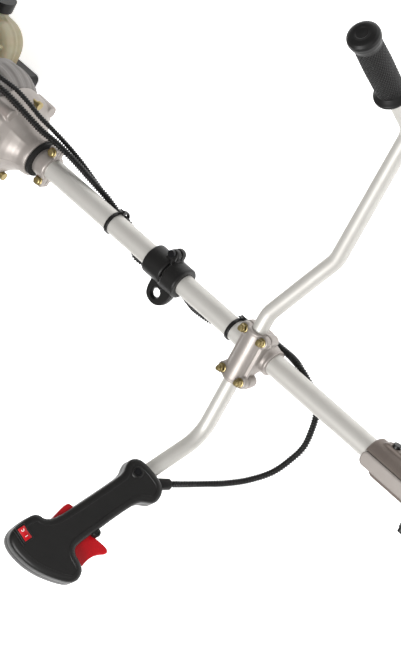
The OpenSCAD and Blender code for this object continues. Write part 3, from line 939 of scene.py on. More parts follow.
# Extruded polypropylene conduit: smooth and waxy.
CONDUIT = Finish(
    "black_polypropylene_conduit",
    "conduit_plastic",
    "#080808",
    "#0E0E0E",
    roughness=0.32,
    grain=0.6,
    depth=0.01,
    ior=1.49,
    specular=0.35,
)
# Glossy ABS of the levers, moulded in colour against a polished tool.
RED_ABS = Finish(
    "red_glossy_abs",
    "red_plastic",
    "#BE0012",
    "#AC000F",
    roughness=0.3,
    grain=2.5,
    depth=0.01,
    ior=1.54,
    specular=0.3,
    edge=0.5,
)
# The engine cover's painted ABS, with a clear lacquer.
COVER_ABS = Finish(
    "red_lacquered_abs",
    "cover_red",
    "#B3161C",
    "#A01218",
    roughness=0.3,
    grain=2.0,
    depth=0.02,
    ior=1.54,
    coat=0.4,
    edge=1.5,
)
# Blow-moulded natural polyethylene: milky, lets light in, tinted by the fuel mix.
TANK_HDPE = Finish(
    "milky_polyethylene",
    "tank_plastic",
    "#B8B09A",
    "#978B63",
    roughness=0.42,
    grain=1.5,
    depth=0.04,
    patch=45.0,
    ior=1.54,
    subsurface=0.35,
)
# Clear soft PVC fuel hose, gone slightly yellow.
CLEAR_HOSE = Finish(
    "clear_pvc_hose",
    "hose_clear",
    "#D8CFA8",
    "#CBBF90",
    roughness=0.2,
    grain=1.5,
    depth=0.01,
    ior=1.53,
    transmission=0.5,
)
# Heat-proof black enamel on pressed steel.
MUFFLER_ENAMEL = Finish(
    "heatproof_black_enamel",
    "muffler_steel",
    "#3A3836",
    "#4A4541",
    roughness=0.55,
    grain=1.0,
    depth=0.03,
    metallic=0.5,
    edge=0.8,
)
# Extruded nylon trimming line.
NYLON_LINE = Finish(
    "orange_nylon_line",
    "line_nylon",
    "#E2701E",
    "#D5641A",
    roughness=0.3,
    grain=1.0,
    depth=0.01,
    ior=1.53,
    subsurface=0.1,
)
# White screen-printed ink on the switch.
WHITE_INK = Finish(
    "white_pad_print",
    "red_plastic",
    "#EFE7E4",
    "#E2D6D2",
    roughness=0.5,
    grain=0.5,
    depth=0.01,
)


def show(
    piece: bpy.types.Object,
    finish: Finish,
    stands_for: Sequence[str] = (),
    body: str = "root",
) -> bpy.types.Object:
    """Dresses a piece, puts it on its body and reports it.

    Args:
        piece: The finished mesh.
        finish: What it is made of.
        stands_for: The frame's nodes that it is shown instead of.
        body: The body that it moves with.

    Returns:
        The same piece.
    """
    piece.data.materials.clear()
    piece.data.materials.append(finish.material())
    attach(piece, body)
    if stands_for:
        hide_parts(*stands_for)
    log.info("%s is %s and rides on %s", piece.name, finish.name, body)
    return piece


def dress(nodes: dict[str, bpy.types.Object], names: Sequence[str], finish: Finish) -> None:
    """Gives nodes of the frame their finish.

    Args:
        nodes: The frame's nodes by name.
        names: Which of them.
        finish: What they are made of.
    """
    for name in names:
        node = nodes[name]
        node.data.materials.clear()
        node.data.materials.append(finish.material())
        log.info("%s is %s", name, finish.name)


# ---------------------------------------------------------------- handlebar


@dataclass
class Handlebar:
    """The bent tube across the shaft, with the rubber grip at its left end."""

    bar_height: float = 28.0
    diameter: float = 19.0
    grip_diameter: float = 33.0
    grip_length: float = 110.0
    grip_start: float = 66.0
    handle_reach: float = 162.0
    right_corner: Triple = (0.0, -118.0, 28.0)
    grip_corner: Triple = (69.0, 362.0, 77.0)
    knurls: int = 30
    knurl_pitch: float = 5.2
    knurl_depth: float = 0.55
    handle_way: Vector = field(
        default_factory=lambda: Vector((-0.061, -0.605, 0.794)).normalized()
    )
    grip_way: Vector = field(
        default_factory=lambda: Vector((-0.21, 0.607, 0.766)).normalized()
    )

    def line(self) -> list[Vector]:
        """The tube's centre line, from inside the throttle handle to the grip."""
        right = Vector(self.right_corner)
        grip_corner = Vector(self.grip_corner)
        grip_end = grip_corner + self.grip_way * (self.grip_start + self.grip_length - 6)
        corners = [
            right + self.handle_way * self.handle_reach,
            right,
            Vector((0, 58, self.bar_height)),
            Vector((47, 168, 37)),
            grip_corner,
            grip_end,
        ]
        return evenly(filleted(corners, [0, 45, 35, 40, 40, 0]), 3.0)

    def build(self) -> None:
        """Builds and dresses the tube and the grip."""
        bar = tube("handlebar_tube", self.line(), lambda _: self.diameter / 2, 48)
        show(soften(bar), BENT_ANODISED, ["handlebar"])
        start = Vector(self.grip_corner) + self.grip_way * self.grip_start
        place = axes(tuple(start), tuple(self.grip_way), (1, 0, 0))
        body = self.grip_diameter / 2
        end = self.grip_length
        profile = [
            (0.4, self.diameter / 2 + 0.1),
            (0.0, body + 3.4),
            (1.0, body + 4.6),
            (3.0, body + 5.0),
            (4.8, body + 4.4),
            (6.5, body + 2.2),
            (9.0, body - 0.6),
            (13.0, body - 0.8),
            (end / 2, body),
            (end - 22.0, body - 0.6),
            (end - 17.0, body + 0.4),
            (end - 13.0, body + 2.2),
            (end - 8.0, body + 2.9),
            (end - 4.5, body + 2.2),
            (end - 1.8, body - 0.2),
            (end - 0.4, body - 3.0),
            (end, body - 5.5),
            (end - 0.3, body - 8.5),
            (end - 1.2, body - 9.6),
            (end - 1.6, 0.8),
        ]
        grip = lathe(
            "left_grip_rubber",
            place,
            rounded_steps(profile, 0.65),
            200,
            relief=self._knurl,
        )
        show(soften(grip, 60), GRIP_RUBBER, ["left_grip"])

    def _knurl(self, along: float, angle: float) -> float:
        """The height of the diamonds on the grip.

        Args:
            along: The distance along the grip.
            angle: The angle round it, in radians.

        Returns:
            What to add to the grip's radius there.
        """
        inside = min((along - 11.0) / 3.0, (self.grip_length - 20.0 - along) / 3.0, 1.0)
        if inside <= 0:
            return 0.0
        turn = self.knurls * angle / 2
        lead = math.pi * along / self.knurl_pitch
        crossed = abs(math.cos(turn + lead) * math.cos(turn - lead))
        return inside * self.knurl_depth * (1 - 2 * (1 - crossed) ** 3)


# ---------------------------------------------------------------- throttle handle


@dataclass
class ThrottleHandle:
    """The moulded handle at the bar's right end, with its levers and switch."""

    width: float = 36.0
    flange: float = 57.0
    offset: float = 3.4
    thickness: float = 34.0
    lever: float = 11.0
    seam: float = 0.15
    front_rim: float = 5.5
    head_start: float = 77.0
    slot_low: Pair = (15.0, 84.0)
    slot_high: Pair = (70.0, 131.5)
    screw: Pair = (-7.0, 16.0)
    switch: Pair = (-21.0, 168.0)
    place: Place = field(init=False)

    def __post_init__(self) -> None:
        """Works out the handle's axes: u to the trigger, v along the bar, n to the front."""
        bar = Handlebar()
        front = Vector(bar.right_corner) + bar.handle_way * self.head_start
        along = axes(tuple(front), tuple(bar.handle_way), (0.860, -0.436, -0.266))
        self.place = Place(front, along.u, along.n, along.v)

    def outline(self) -> list[Pair]:
        """The handle's outline on u and v."""
        left = self.offset - self.width / 2
        right = self.offset + self.width / 2
        flange_left = self.offset + 2 - self.flange / 2
        flange_right = self.offset + 2 + self.flange / 2
        return curved(
            [
                (-12, 1),
                (flange_left + 3, 6),
                (flange_left - 0.5, 13),
                (flange_left + 1, 20),
                (left - 1, 29),
                (left, 40),
                (left, 70),
                (left, 99),
                (left - 1, 127),
                (-22, 138),
                (-29, 140),
                (-34, 147),
                (-33.5, 172),
                (-29, 183),
                (-19, 188),
                (-4, 187.5),
                (16, 182),
                (35, 171),
                (53, 156),
                (57, 146),
                (53.5, 137),
                (46, 131),
                (right + 3, 130),
                (right + 1, 112),
                (right + 1, 90),
                (right, 70),
                (right, 42),
                (right + 2, 32),
                (flange_right - 7, 27),
                (flange_right, 19),
                (flange_right - 2, 8),
                (25, 0.5),
                (14, -2.5),
            ],
            3,
        )

    def build(self) -> None:
        """Builds and dresses the halves, their fittings, the levers and the switch."""
        half = self.thickness / 2
        for name, node, side in (
            ("throttle_handle_front_shell", "throttle_handle_front", 1),
            ("throttle_handle_rear_shell", "throttle_handle_rear", -1),
        ):
            place = Place(
                self.place.origin, self.place.u, self.place.v, self.place.n * side
            )
            shell = slab(
                name,
                place,
                self.outline(),
                self.seam,
                half,
                (0.5, self.front_rim),
                (2.2, 0.5),
            )
            cutters = [
                slab(
                    "slot",
                    place,
                    box_outline(self.slot_low, self.slot_high, 2),
                    -1,
                    self.lever / 2 + 0.5,
                ),
                slab(
                    "slot",
                    place,
                    box_outline((-40, 96), (-10.6, 134), 2),
                    -1,
                    self.lever / 2 + 0.5,
                ),
                lathe("hole", self._along(), [(-20, 9.6), (80, 9.6)], 48),
                lathe(
                    "recess",
                    place.moved(*self.screw),
                    [(half - 1.6, 4.2), (half + 9, 4.2)],
                    40,
                ),
            ]
            if side > 0:
                cutters.append(
                    slab(
                        "window",
                        place,
                        box_outline(
                            (self.switch[0] - 8.8, self.switch[1] - 5.4),
                            (self.switch[0] + 8.8, self.switch[1] + 5.4),
                            1.2,
                        ),
                        half - 3.5,
                        half + 2,
                    )
                )
            show(soften(cut(shell, cutters), 40), BLACK_NYLON, [node])
            boss = lathe(
                f"{node}_screw_boss",
                place.moved(*self.screw),
                [
                    (half - 3, 4.2),
                    (half + 0.2, 4.2),
                    (half + 0.7, 4.7),
                    (half + 0.9, 5.6),
                    (half + 0.5, 6.8),
                    (half - 0.6, 7.8),
                    (half - 3, 8.4),
                ],
                48,
                looped=True,
            )
            show(soften(boss), BLACK_NYLON)
        ear = lathe(
            "trigger_ear",
            self.place.moved(23.5, 95.5),
            [
                (-half + 2, 2.0),
                (-half + 1.2, 4.2),
                (-half + 3, 5.6),
                (half - 4.4, 5.6),
                (half - 2.6, 4.4),
                (half - 2.4, 3.2),
                (half - 3.4, 2.6),
            ],
            48,
        )
        slot = slab(
            "slot",
            self.place,
            box_outline(self.slot_low, self.slot_high, 2),
            -self.lever / 2 - 0.5,
            self.lever / 2 + 0.5,
        )
        show(soften(cut(ear, [slot])), BLACK_NYLON)
        self._levers()
        self._switch(half)
        self._sleeve()

    def _along(self) -> Place:
        """The handle's place with n along the bar."""
        return Place(self.place.origin, self.place.u, self.place.n, self.place.v)

    def _levers(self) -> None:
        """Builds the trigger and the lockout lever."""
        half = self.lever / 2
        trigger = slab(
            "trigger_red",
            self.place,
            curved(
                [
                    (12, 104),
                    (19, 98.5),
                    (30, 97.2),
                    (38, 94.5),
                    (46, 92.6),
                    (50, 95),
                    (50, 98.5),
                    (46, 105),
                    (44, 113),
                    (44.5, 122),
                    (47, 130),
                    (44, 131),
                    (28, 131),
                    (12, 130.5),
                ],
                2,
            ),
            -half,
            half,
            (1.4, 1.4),
        )
        show(soften(trigger, 40), RED_ABS, ["trigger"], "trigger")
        lockout = slab(
            "lockout_red",
            self.place,
            curved(
                [
                    (-22, 105),
                    (-20.5, 100.5),
                    (-12, 98),
                    (-8.5, 104),
                    (-5, 123),
                    (-5, 132),
                    (-9, 133.5),
                    (-14, 133),
                    (-17, 129),
                    (-20, 116),
                ],
                2,
            ),
            -half,
            half,
            (1.2, 1.2),
        )
        show(soften(lockout, 40), RED_ABS, ["lockout_lever"], "lockout")

    def _switch(self, half: float) -> None:
        """Builds the rocker stop switch, its frame and its two marks.

        Args:
            half: Half the handle's thickness.
        """
        at = self.place.moved(*self.switch)
        frame = slab(
            "switch_bezel",
            at,
            box_outline((-10.2, -6.6), (10.2, 6.6), 1.8),
            half - 3,
            half + 0.9,
            (0.3, 0.7),
        )
        opening = slab(
            "opening", at, box_outline((-8.2, -4.7), (8.2, 4.7), 0.8), half - 6, half + 4
        )
        show(soften(cut(frame, [opening])), BLACK_NYLON)
        rings = []
        for step in range(9):
            across = -8 + 2 * step
            lift = half + 0.7 + 0.028 * across * across
            edge = 0.5 if step in (0, 8) else 0.0
            rings.append(
                [
                    at.at(across, -4.5, half - 4),
                    at.at(across, 4.5, half - 4),
                    at.at(across, 4.5, lift - edge - 0.3),
                    at.at(across, 4.2, lift - edge),
                    at.at(across, -4.2, lift - edge),
                    at.at(across, -4.5, lift - edge - 0.3),
                ]
            )
        show(soften(skin("switch_rocker", rings), 50), RED_ABS, ["stop_switch"], "switch")
        ring = lathe(
            "switch_mark_off",
            at.moved(-4.4),
            [(half + 1.1, 1.1), (half + 1.5, 1.1), (half + 1.5, 1.9), (half + 1.1, 1.9)],
            32,
            looped=True,
        )
        bar = slab(
            "switch_mark_on",
            at.moved(3.6),
            box_outline((-0.4, -1.7), (0.4, 1.7), 0.2),
            half + 0.9,
            half + 1.35,
            (0.05, 0.05),
        )
        for mark in (ring, bar):
            show(soften(mark), WHITE_INK, (), "switch")
        rib = slab(
            "handle_head_rib",
            self.place,
            box_outline((-31, 176.2), (-10, 177.2), 0.4),
            half - 0.8,
            half + 0.5,
            (0.1, 0.3),
        )
        show(soften(rib), BLACK_NYLON)

    def _sleeve(self) -> None:
        """Builds the smooth sleeve that holds the conduit's end."""
        turn = Matrix.Rotation(math.radians(148), 3, self.place.n)
        way = turn @ self.place.v
        base = self.place.moved(17)
        place = Place(base.origin, self.place.n, way.cross(self.place.n), way)
        outward = 1 if place.n.dot(self.place.v) < 0 else -1
        sleeve = lathe(
            "conduit_sleeve",
            Place(place.origin, place.u, place.v, place.n * outward),
            [
                (-4, 5.0),
                (-4, 7.4),
                (3, 7.2),
                (10, 6.9),
                (15, 6.7),
                (16.4, 6.3),
                (16.8, 5.6),
                (16.0, 4.9),
            ],
            48,
            looped=True,
        )
        show(soften(sleeve), BLACK_NYLON)


# ---------------------------------------------------------------- conduit and ties


@dataclass
class Conduit:
    """The corrugated conduit from the engine to the throttle handle, and its ties."""

    radius: float = 4.5
    pitch: float = 3.2
    groove: float = 1.3
    thin_radius: float = 3.4
    tie_stations: tuple[float, float] = (-252.0, -44.0)
    route: tuple[Triple, ...] = (
        (-509, 60, 80),
        (-496, 60, 70),
        (-478, 60, 60),
        (-458, 60, 53),
        (-440, 58, 46),
        (-421, 51, 36),
        (-405, 44, 27),
        (-388, 37, 17),
        (-367, 33, 8),
        (-340, 27, 0),
        (-310, 19, -7),
        (-284, 11, -15),
        (-262, 4, -18),
        (-242, 2, -18),
        (-226, -9, -17),
        (-209, -18, -8),
        (-190, -20, -16),
        (-157, -16, -20),
        (-124, -20, -16),
        (-104, -18, -8),
        (-80, -16, -10),
        (-64, -8, -17),
        (-52, -1, -18),
        (-36, 1, -19),
        (-24, 8, -24),
        (0, 10.1, -21.2),
        (25, 10.8, -21),
        (45, 12, -14),
        (60, 4.5, -17.8),
        (75, -4, -18.5),
        (86, -16, -20.5),
        (92, -30, -22),
        (100, -59, -15),
        (98, -81, -5),
        (91, -103, 6),
        (76, -124, 20),
        (58, -141, 31),
        (42, -153, 40),
        (28, -162, 56),
        (17, -168, 73),
        (10, -172, 84),
    )

    def build(self) -> None:
        """Builds and dresses the conduit, the thinner hose beside it and the ties."""
        line = through([Vector(p) for p in self.route], 10)
        show(
            self._corrugated("throttle_conduit_tube", line, self.radius),
            CONDUIT,
            ["throttle_conduit"],
        )
        beside = [
            (-500, 66, 58),
            (-478, 69, 50),
            (-455, 67, 42),
            (-436, 64, 33),
            (-418, 57, 24),
            (-400, 49, 16),
            (-382, 42, 6),
            (-362, 35, -3),
            (-338, 27, -10),
            (-312, 17, -16),
            (-292, 8, -22),
            (-276, 1, -25),
        ]
        thin = through([Vector(p) for p in beside], 10)
        show(self._corrugated("stop_wire_conduit", thin, self.thin_radius), CONDUIT)
        for i, station in enumerate(self.tie_stations):
            self._tie(f"cable_tie_{i}", station, (3.0, 0.0)[i])
        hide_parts("cable_ties")

    def _corrugated(
        self, name: str, line: Sequence[Vector], radius: float
    ) -> bpy.types.Object:
        """Sweeps the ridged tube along a line.

        Args:
            name: The piece's name.
            line: The centre line in shaft coordinates.
            radius: The radius over the ridges.

        Returns:
            The piece.
        """
        ridge = (1.0, 1.0, 0.25, 0.0, 0.25)
        points = evenly(line, self.pitch / len(ridge))
        depth = self.groove * radius / self.radius
        piece = tube(
            name,
            points,
            lambda i: radius - depth * (1 - ridge[i % len(ridge)]),
            20,
        )
        return soften(piece, 75)

    def _tie(self, name: str, station: float, middle: float) -> None:
        """Builds a cable tie round the main tube and the conduit.

        Args:
            name: The tie's name.
            station: Where it is along the shaft.
            middle: How far to the left the conduit lies there.
        """
        reach = 13.3
        hose = Vector((middle, -18.0))
        points: list[Pair] = []
        for k in range(72):
            angle = TAU * k / 72
            way = Vector((math.cos(angle), math.sin(angle)))
            far = max(reach, hose.dot(way) + self.radius + 0.3)
            points.append((way.x * far, way.y * far))
        rings = []
        edge = [(0.0, 2.3), (1.1, 2.3), (1.3, 2.0)]
        for offset, half in edge + [(far, -side) for far, side in reversed(edge)]:
            ring = inset(points, -offset)
            rings.append([ALONG.at(x, y, station + half) for x, y in ring])
        band = skin(name, rings, looped=True)
        head_angle = math.radians(-27)
        way = Vector((math.cos(head_angle), math.sin(head_angle)))
        head_place = axes(
            (station, way.x * (reach + 2.6), way.y * (reach + 2.6)),
            (1, 0, 0),
            (0, way.x, way.y),
        )
        head = slab(
            "head", head_place, box_outline((-2.6, -3.8), (2.6, 3.8), 0.9), -3.6, 3.6, (0.7, 0.7)
        )
        tail = slab(
            "tail",
            head_place,
            [(-0.2, 0), (1.2, 0), (0.9, 6), (-0.9, 10.5), (-2.2, 10.6), (-0.6, 6)],
            -2.1,
            2.1,
            (0.2, 0.2),
        )
        show(soften(joined(name, [band, head, tail]), 40), BLACK_NYLON)


# ---------------------------------------------------------------- clamps


@dataclass
class HandlebarClamp:
    """The two castings that hold the bar across the shaft, with four bolts."""

    length: float = 46.0
    width: float = 72.0
    bar_height: float = 28.0
    bolt_x: float = 14.5
    bolt_y: float = 28.3
    ring_radius: float = 16.8
    bar_radius: float = 9.5
    cap_rise: float = 8.0
    grid: float = 0.8

    def bolts(self) -> list[Place]:
        """The axes of the four bolts."""
        return [
            SHAFT.moved(i * self.bolt_x, j * self.bolt_y)
            for i in (-1, 1)
            for j in (-1, 1)
        ]

    def build(self) -> None:
        """Builds and dresses the base, the cap and the bolts."""
        self._base()
        self._cap()
        heads = [piece for place in self.bolts() for piece in self._bolt(place)]
        show(soften(joined("handlebar_clamp_bolts", heads)), YELLOW_ZINC, ["clamp_bolts"])

    def _bolt(self, place: Place) -> list[bpy.types.Object]:
        """Builds one bolt: washer, nut and thread end on top, and the head below.

        Args:
            place: The bolt's axis.

        Returns:
            Its four pieces.
        """
        top = self.bar_height + self.cap_rise
        low = self.bar_height - 15.4
        return [
            lathe(
                "washer",
                place,
                [(top, 5.3), (top + 0.2, 5.6), (top + 1.1, 5.6), (top + 1.3, 5.3)],
                40,
            ),
            lathe(
                "nut",
                place,
                [
                    (top + 1.3, 4.5),
                    (top + 1.6, 4.9),
                    (top + 5.6, 4.9),
                    (top + 6.1, 4.3),
                    (top + 6.2, 3.0),
                ],
                BOLT_SIDES,
            ),
            lathe(
                "thread",
                place,
                rounded_steps([(top + 5, 2.9), (top + 9.4, 2.9), (top + 10, 2.3)], 0.4),
                32,
                relief=lambda along, angle: 0.16 * math.sin(TAU * along - angle),
            ),
            lathe(
                "under",
                place,
                [(low, 4.4), (low + 0.4, 4.9), (low + 5, 4.9), (low + 5.4, 5.6)],
                BOLT_SIDES,
            ),
        ]

    def _bores(self) -> list[bpy.types.Object]:
        """Cutters for the shaft tube and the bar."""
        across = axes((0, 0, self.bar_height), (0, 1, 0), (1, 0, 0))
        bar = self.bar_radius + 0.05
        return [
            lathe("bore", ALONG, [(-90, TUBE_BORE), (90, TUBE_BORE)], 96),
            lathe("bore", across, [(-90, bar), (90, bar)], 72),
        ]

    def _base(self) -> None:
        """Builds the lower casting: a collar round the shaft that widens to the ears."""
        half = self.length / 2
        split = self.bar_height - 0.3
        ring = self.ring_radius
        parts = [
            lathe(
                "collar",
                ALONG,
                [
                    (-half + 0.4, ring - 3),
                    (-half, ring - 1.2),
                    (-half + 1.2, ring),
                    (-half + 3, ring),
                    (-half + 4, ring - 0.5),
                    (-half + 12, ring + 1.5),
                    (half - 12, ring + 1.5),
                    (half - 4, ring - 0.5),
                    (half - 3, ring),
                    (half - 1.2, ring),
                    (half, ring - 1.2),
                    (half - 0.4, ring - 3),
                ],
                72,
            ),
            slab(
                "web",
                ALONG,
                curved(
                    [
                        (-16, -2),
                        (-19, 6),
                        (-24, 14),
                        (-33, 17),
                        (-34, split),
                        (34, split),
                        (33, 17),
                        (24, 14),
                        (19, 6),
                        (16, -2),
                    ],
                    2,
                ),
                -half + 9,
                half - 9,
                (3, 3),
            ),
            slab(
                "seat",
                SHAFT,
                box_outline((-12, -34), (12, 34), 5),
                8,
                split,
                (1, 0.6),
            ),
        ]
        for place in self.bolts():
            parts.append(
                lathe(
                    "ear",
                    place,
                    [(11, 5.5), (12.5, 7.2), (19, 8.2), (split - 0.8, 8.4), (split, 7.8)],
                    48,
                )
            )
        base = cast_as_one("handlebar_clamp_lower", parts, self.grid, 4)
        cutters = self._bores() + [
            slab("top", SHAFT, box_outline((-60, -60), (60, 60), 1), split, split + 40)
        ]
        show(soften(cut(base, cutters), 45), DIE_CAST, ["handlebar_clamp_base"])

    def _cap(self) -> None:
        """Builds the upper casting: a saddle over the bar with four ears."""
        low = self.bar_height + 0.3
        across = axes((0, 0, self.bar_height), (0, 1, 0), (1, 0, 0))
        reach = self.width / 2 - 1
        radius = self.bar_radius + 5
        face = self.bar_height + self.cap_rise
        parts = [
            lathe(
                "saddle",
                across,
                [
                    (-reach, radius - 3.4),
                    (-reach + 0.4, radius - 1),
                    (-reach + 2, radius),
                    (-reach + 5, radius - 0.9),
                    (reach - 5, radius - 0.9),
                    (reach - 2, radius),
                    (reach - 0.4, radius - 1),
                    (reach, radius - 3.4),
                ],
                72,
            ),
            slab(
                "flange",
                SHAFT,
                box_outline((-17, -33), (17, 33), 7),
                low - 3,
                low + 3.4,
                (0.2, 1.2),
            ),
        ]
        for place in self.bolts():
            parts.append(
                lathe("ear", place, [(low - 3, 7.6), (low + 6.2, 7.6), (low + 7.6, 6.6)], 48)
            )
        cap = cast_as_one("handlebar_clamp_upper", parts, self.grid, 4)
        cutters = self._bores() + [
            slab("under", SHAFT, box_outline((-60, -60), (60, 60), 1), low - 40, low, (0.01, 0.01))
        ]
        cutters += [
            lathe("face", place, [(face, 6.3), (face + 12, 6.3)], 40) for place in self.bolts()
        ]
        show(soften(cut(cap, cutters), 45), DIE_CAST, ["handlebar_clamp_cap"])


@dataclass
class HarnessClamp:
    """The moulded clamp that carries the harness eye."""

    centre: float = -157.0
    length: float = 54.0
    radius: float = 20.0
    eye_y: float = 31.0
    eye_radius: float = 5.5
    plate: float = 4.0
    grid: float = 0.8

    def build(self) -> None:
        """Builds and dresses the bands, the eye plate and the screw lug."""
        start, end = self.centre - self.length / 2, self.centre + self.length / 2
        cheek = box_outline((self.centre - 7, 0), (self.centre + 8, 30.5), 7)
        parts = [
            self._band("band", start, self.centre + 3, self.radius - 1.2, 0),
            self._band("band", self.centre + 1, end, self.radius, 4.5),
            slab("lug", SHAFT, cheek, 1.0, 8.4, (0.2, 1.6)),
            slab("lug", SHAFT, cheek, -8.4, -1.0, (1.6, 0.2)),
            slab(
                "eye",
                SHAFT,
                curved(
                    [
                        (self.centre - 14, -16),
                        (self.centre - 14, -34),
                        (self.centre - 9, -42),
                        (self.centre + 3, -45.5),
                        (self.centre + 15, -40),
                        (self.centre + 21, -28),
                        (self.centre + 22, -16),
                        (self.centre + 21, 0),
                        (self.centre - 14, 0),
                    ],
                    3,
                ),
                -self.plate,
                self.plate,
                (1.4, 1.4),
            ),
        ]
        body = cast_as_one("harness_clamp_moulding", parts, self.grid, 2)
        eye = SHAFT.moved(self.centre, -self.eye_y)
        cutters = [
            lathe("bore", ALONG, [(start - 9, TUBE_BORE), (end + 9, TUBE_BORE)], 96),
            lathe(
                "eye_hole",
                eye,
                [
                    (-20, self.eye_radius + 5.5),
                    (-self.plate, self.eye_radius + 2.2),
                    (-1, self.eye_radius),
                    (1, self.eye_radius),
                    (self.plate, self.eye_radius + 2.2),
                    (20, self.eye_radius + 5.5),
                ],
                48,
            ),
        ]
        for side in (1, -1):
            cutters.append(
                lathe(
                    "seat",
                    Place(SHAFT.moved(self.centre + 2, 25).origin, SHAFT.u, SHAFT.v, SHAFT.n * side),
                    [(8.2, 4.2), (30, 4.2)],
                    40,
                )
            )
        show(soften(cut(body, cutters), 45), BLACK_NYLON, ["harness_clamp"])

    def _band(
        self, name: str, start: float, end: float, radius: float, step: float
    ) -> bpy.types.Object:
        """Builds one round-edged band whose inner edge steps in an S round the tube.

        Args:
            name: The object's name.
            start: The station where it starts.
            end: The station where it ends.
            radius: Its outer radius.
            step: How far the S moves its start to and fro.

        Returns:
            The band.
        """
        rings = []
        for share, drop in (
            (0.0, 2.2),
            (0.02, 0.8),
            (0.07, 0.0),
            (0.93, 0.0),
            (0.98, 0.8),
            (1.0, 2.2),
        ):
            ring = []
            for k in range(96):
                angle = TAU * k / 96
                swing = step * math.tanh(3 * math.sin(angle + 0.7))
                station = (start + swing) * (1 - share) + end * share
                reach = radius - drop
                ring.append(
                    ALONG.at(reach * math.cos(angle), reach * math.sin(angle), station)
                )
            rings.append(ring)
        return skin(name, rings)


@dataclass
class Coupler:
    """The split joint of the shaft: two castings with a flat tongue along the upper one."""

    start: float = 184.0
    end: float = 304.0
    radius: float = 19.6
    flange: float = 6.0
    flange_out: float = 23.5
    tongue: Pair = (-12.5, 5.0)
    tongue_top: float = 20.6
    tongue_corner: float = 7.0
    latch_at: float = 208.0
    knob_at: float = 274.0
    grid: float = 0.8

    def build(self) -> None:
        """Builds and dresses both halves and the tongue along the upper one."""
        for name, node, side in (
            ("coupler_upper_half", "coupler_body", 1),
            ("coupler_lower_half", "coupler_cover", -1),
        ):
            half = cast_as_one(name, self._barrel(), self.grid, 3)
            cutters = self._holes() + [
                slab(
                    "other",
                    Place(SHAFT.origin, SHAFT.u, SHAFT.v, SHAFT.n * side),
                    box_outline((self.start - 20, -60), (self.end + 20, 60), 1),
                    -60,
                    0.2,
                    (0.01, 0.01),
                )
            ]
            if side > 0:
                cutters.append(self._pad("rebate", 0.9, 9.0, 40))
            # Both halves take the darker brown-grey casting finish, which is painted shade; the
            # tongue keeps the plain cast colour.
            show(soften(cut(half, cutters), 45), PAINTED_SHADE_CAST, [node])
        tongue = cast_as_one(
            "coupler_tongue", [self._pad("pad", 0.0, 9.6, self.tongue_top)], self.grid, 1
        )
        bore = lathe("bore", ALONG, [(self.start - 9, TUBE_BORE), (self.end + 9, TUBE_BORE)], 72)
        show(soften(cut(tongue, [bore]), 45), DIE_CAST)

    def _pad(self, name: str, room: float, low: float, high: float) -> bpy.types.Object:
        """Builds the round-ended block of the tongue.

        Args:
            name: The object's name.
            room: How far it stands outside the tongue, and eight times that on the right,
                where a cutter runs out of the barrel.
            low: The height where it starts.
            high: The height where it ends.

        Returns:
            The block.
        """
        right, left = self.tongue
        outline = box_outline(
            (self.start - 0.4 - room, right - 8 * room),
            (self.end - 2 + room, left + room),
            self.tongue_corner,
        )
        return slab(name, SHAFT, outline, low, high, (0.2, 1.3))

    def _barrel(self) -> list[bpy.types.Object]:
        """Builds the barrel with its side flanges."""
        start, end = self.start, self.end
        barrel = lathe(
            "barrel",
            ALONG,
            [
                (start, self.radius - 5),
                (start + 0.6, self.radius - 2),
                (start + 3, self.radius),
                (end - 3, self.radius),
                (end - 0.6, self.radius - 2),
                (end, self.radius - 5),
            ],
            72,
        )
        out = self.flange_out
        flange = slab(
            "flange",
            SHAFT,
            box_outline((start + 8, -out), (end - 8, out), 10),
            -self.flange,
            self.flange,
            (2, 2),
        )
        return [barrel, flange]

    def _holes(self) -> list[bpy.types.Object]:
        """Builds the cutters of the bore, the latch and the knob."""
        return [
            lathe("bore", ALONG, [(self.start - 9, TUBE_BORE), (self.end + 9, TUBE_BORE)], 72),
            lathe(
                "latch_hole",
                axes((self.latch_at, 0, 0), (0, 1, 0), (1, 0, 0)),
                [(12, 5.4), (40, 5.4)],
                40,
            ),
            lathe(
                "knob_hole",
                axes((self.knob_at, 0, 0), (0, -1, 0), (1, 0, 0)),
                [(12, 5.0), (40, 5.0)],
                40,
            ),
        ]


# ---------------------------------------------------------------- engine end


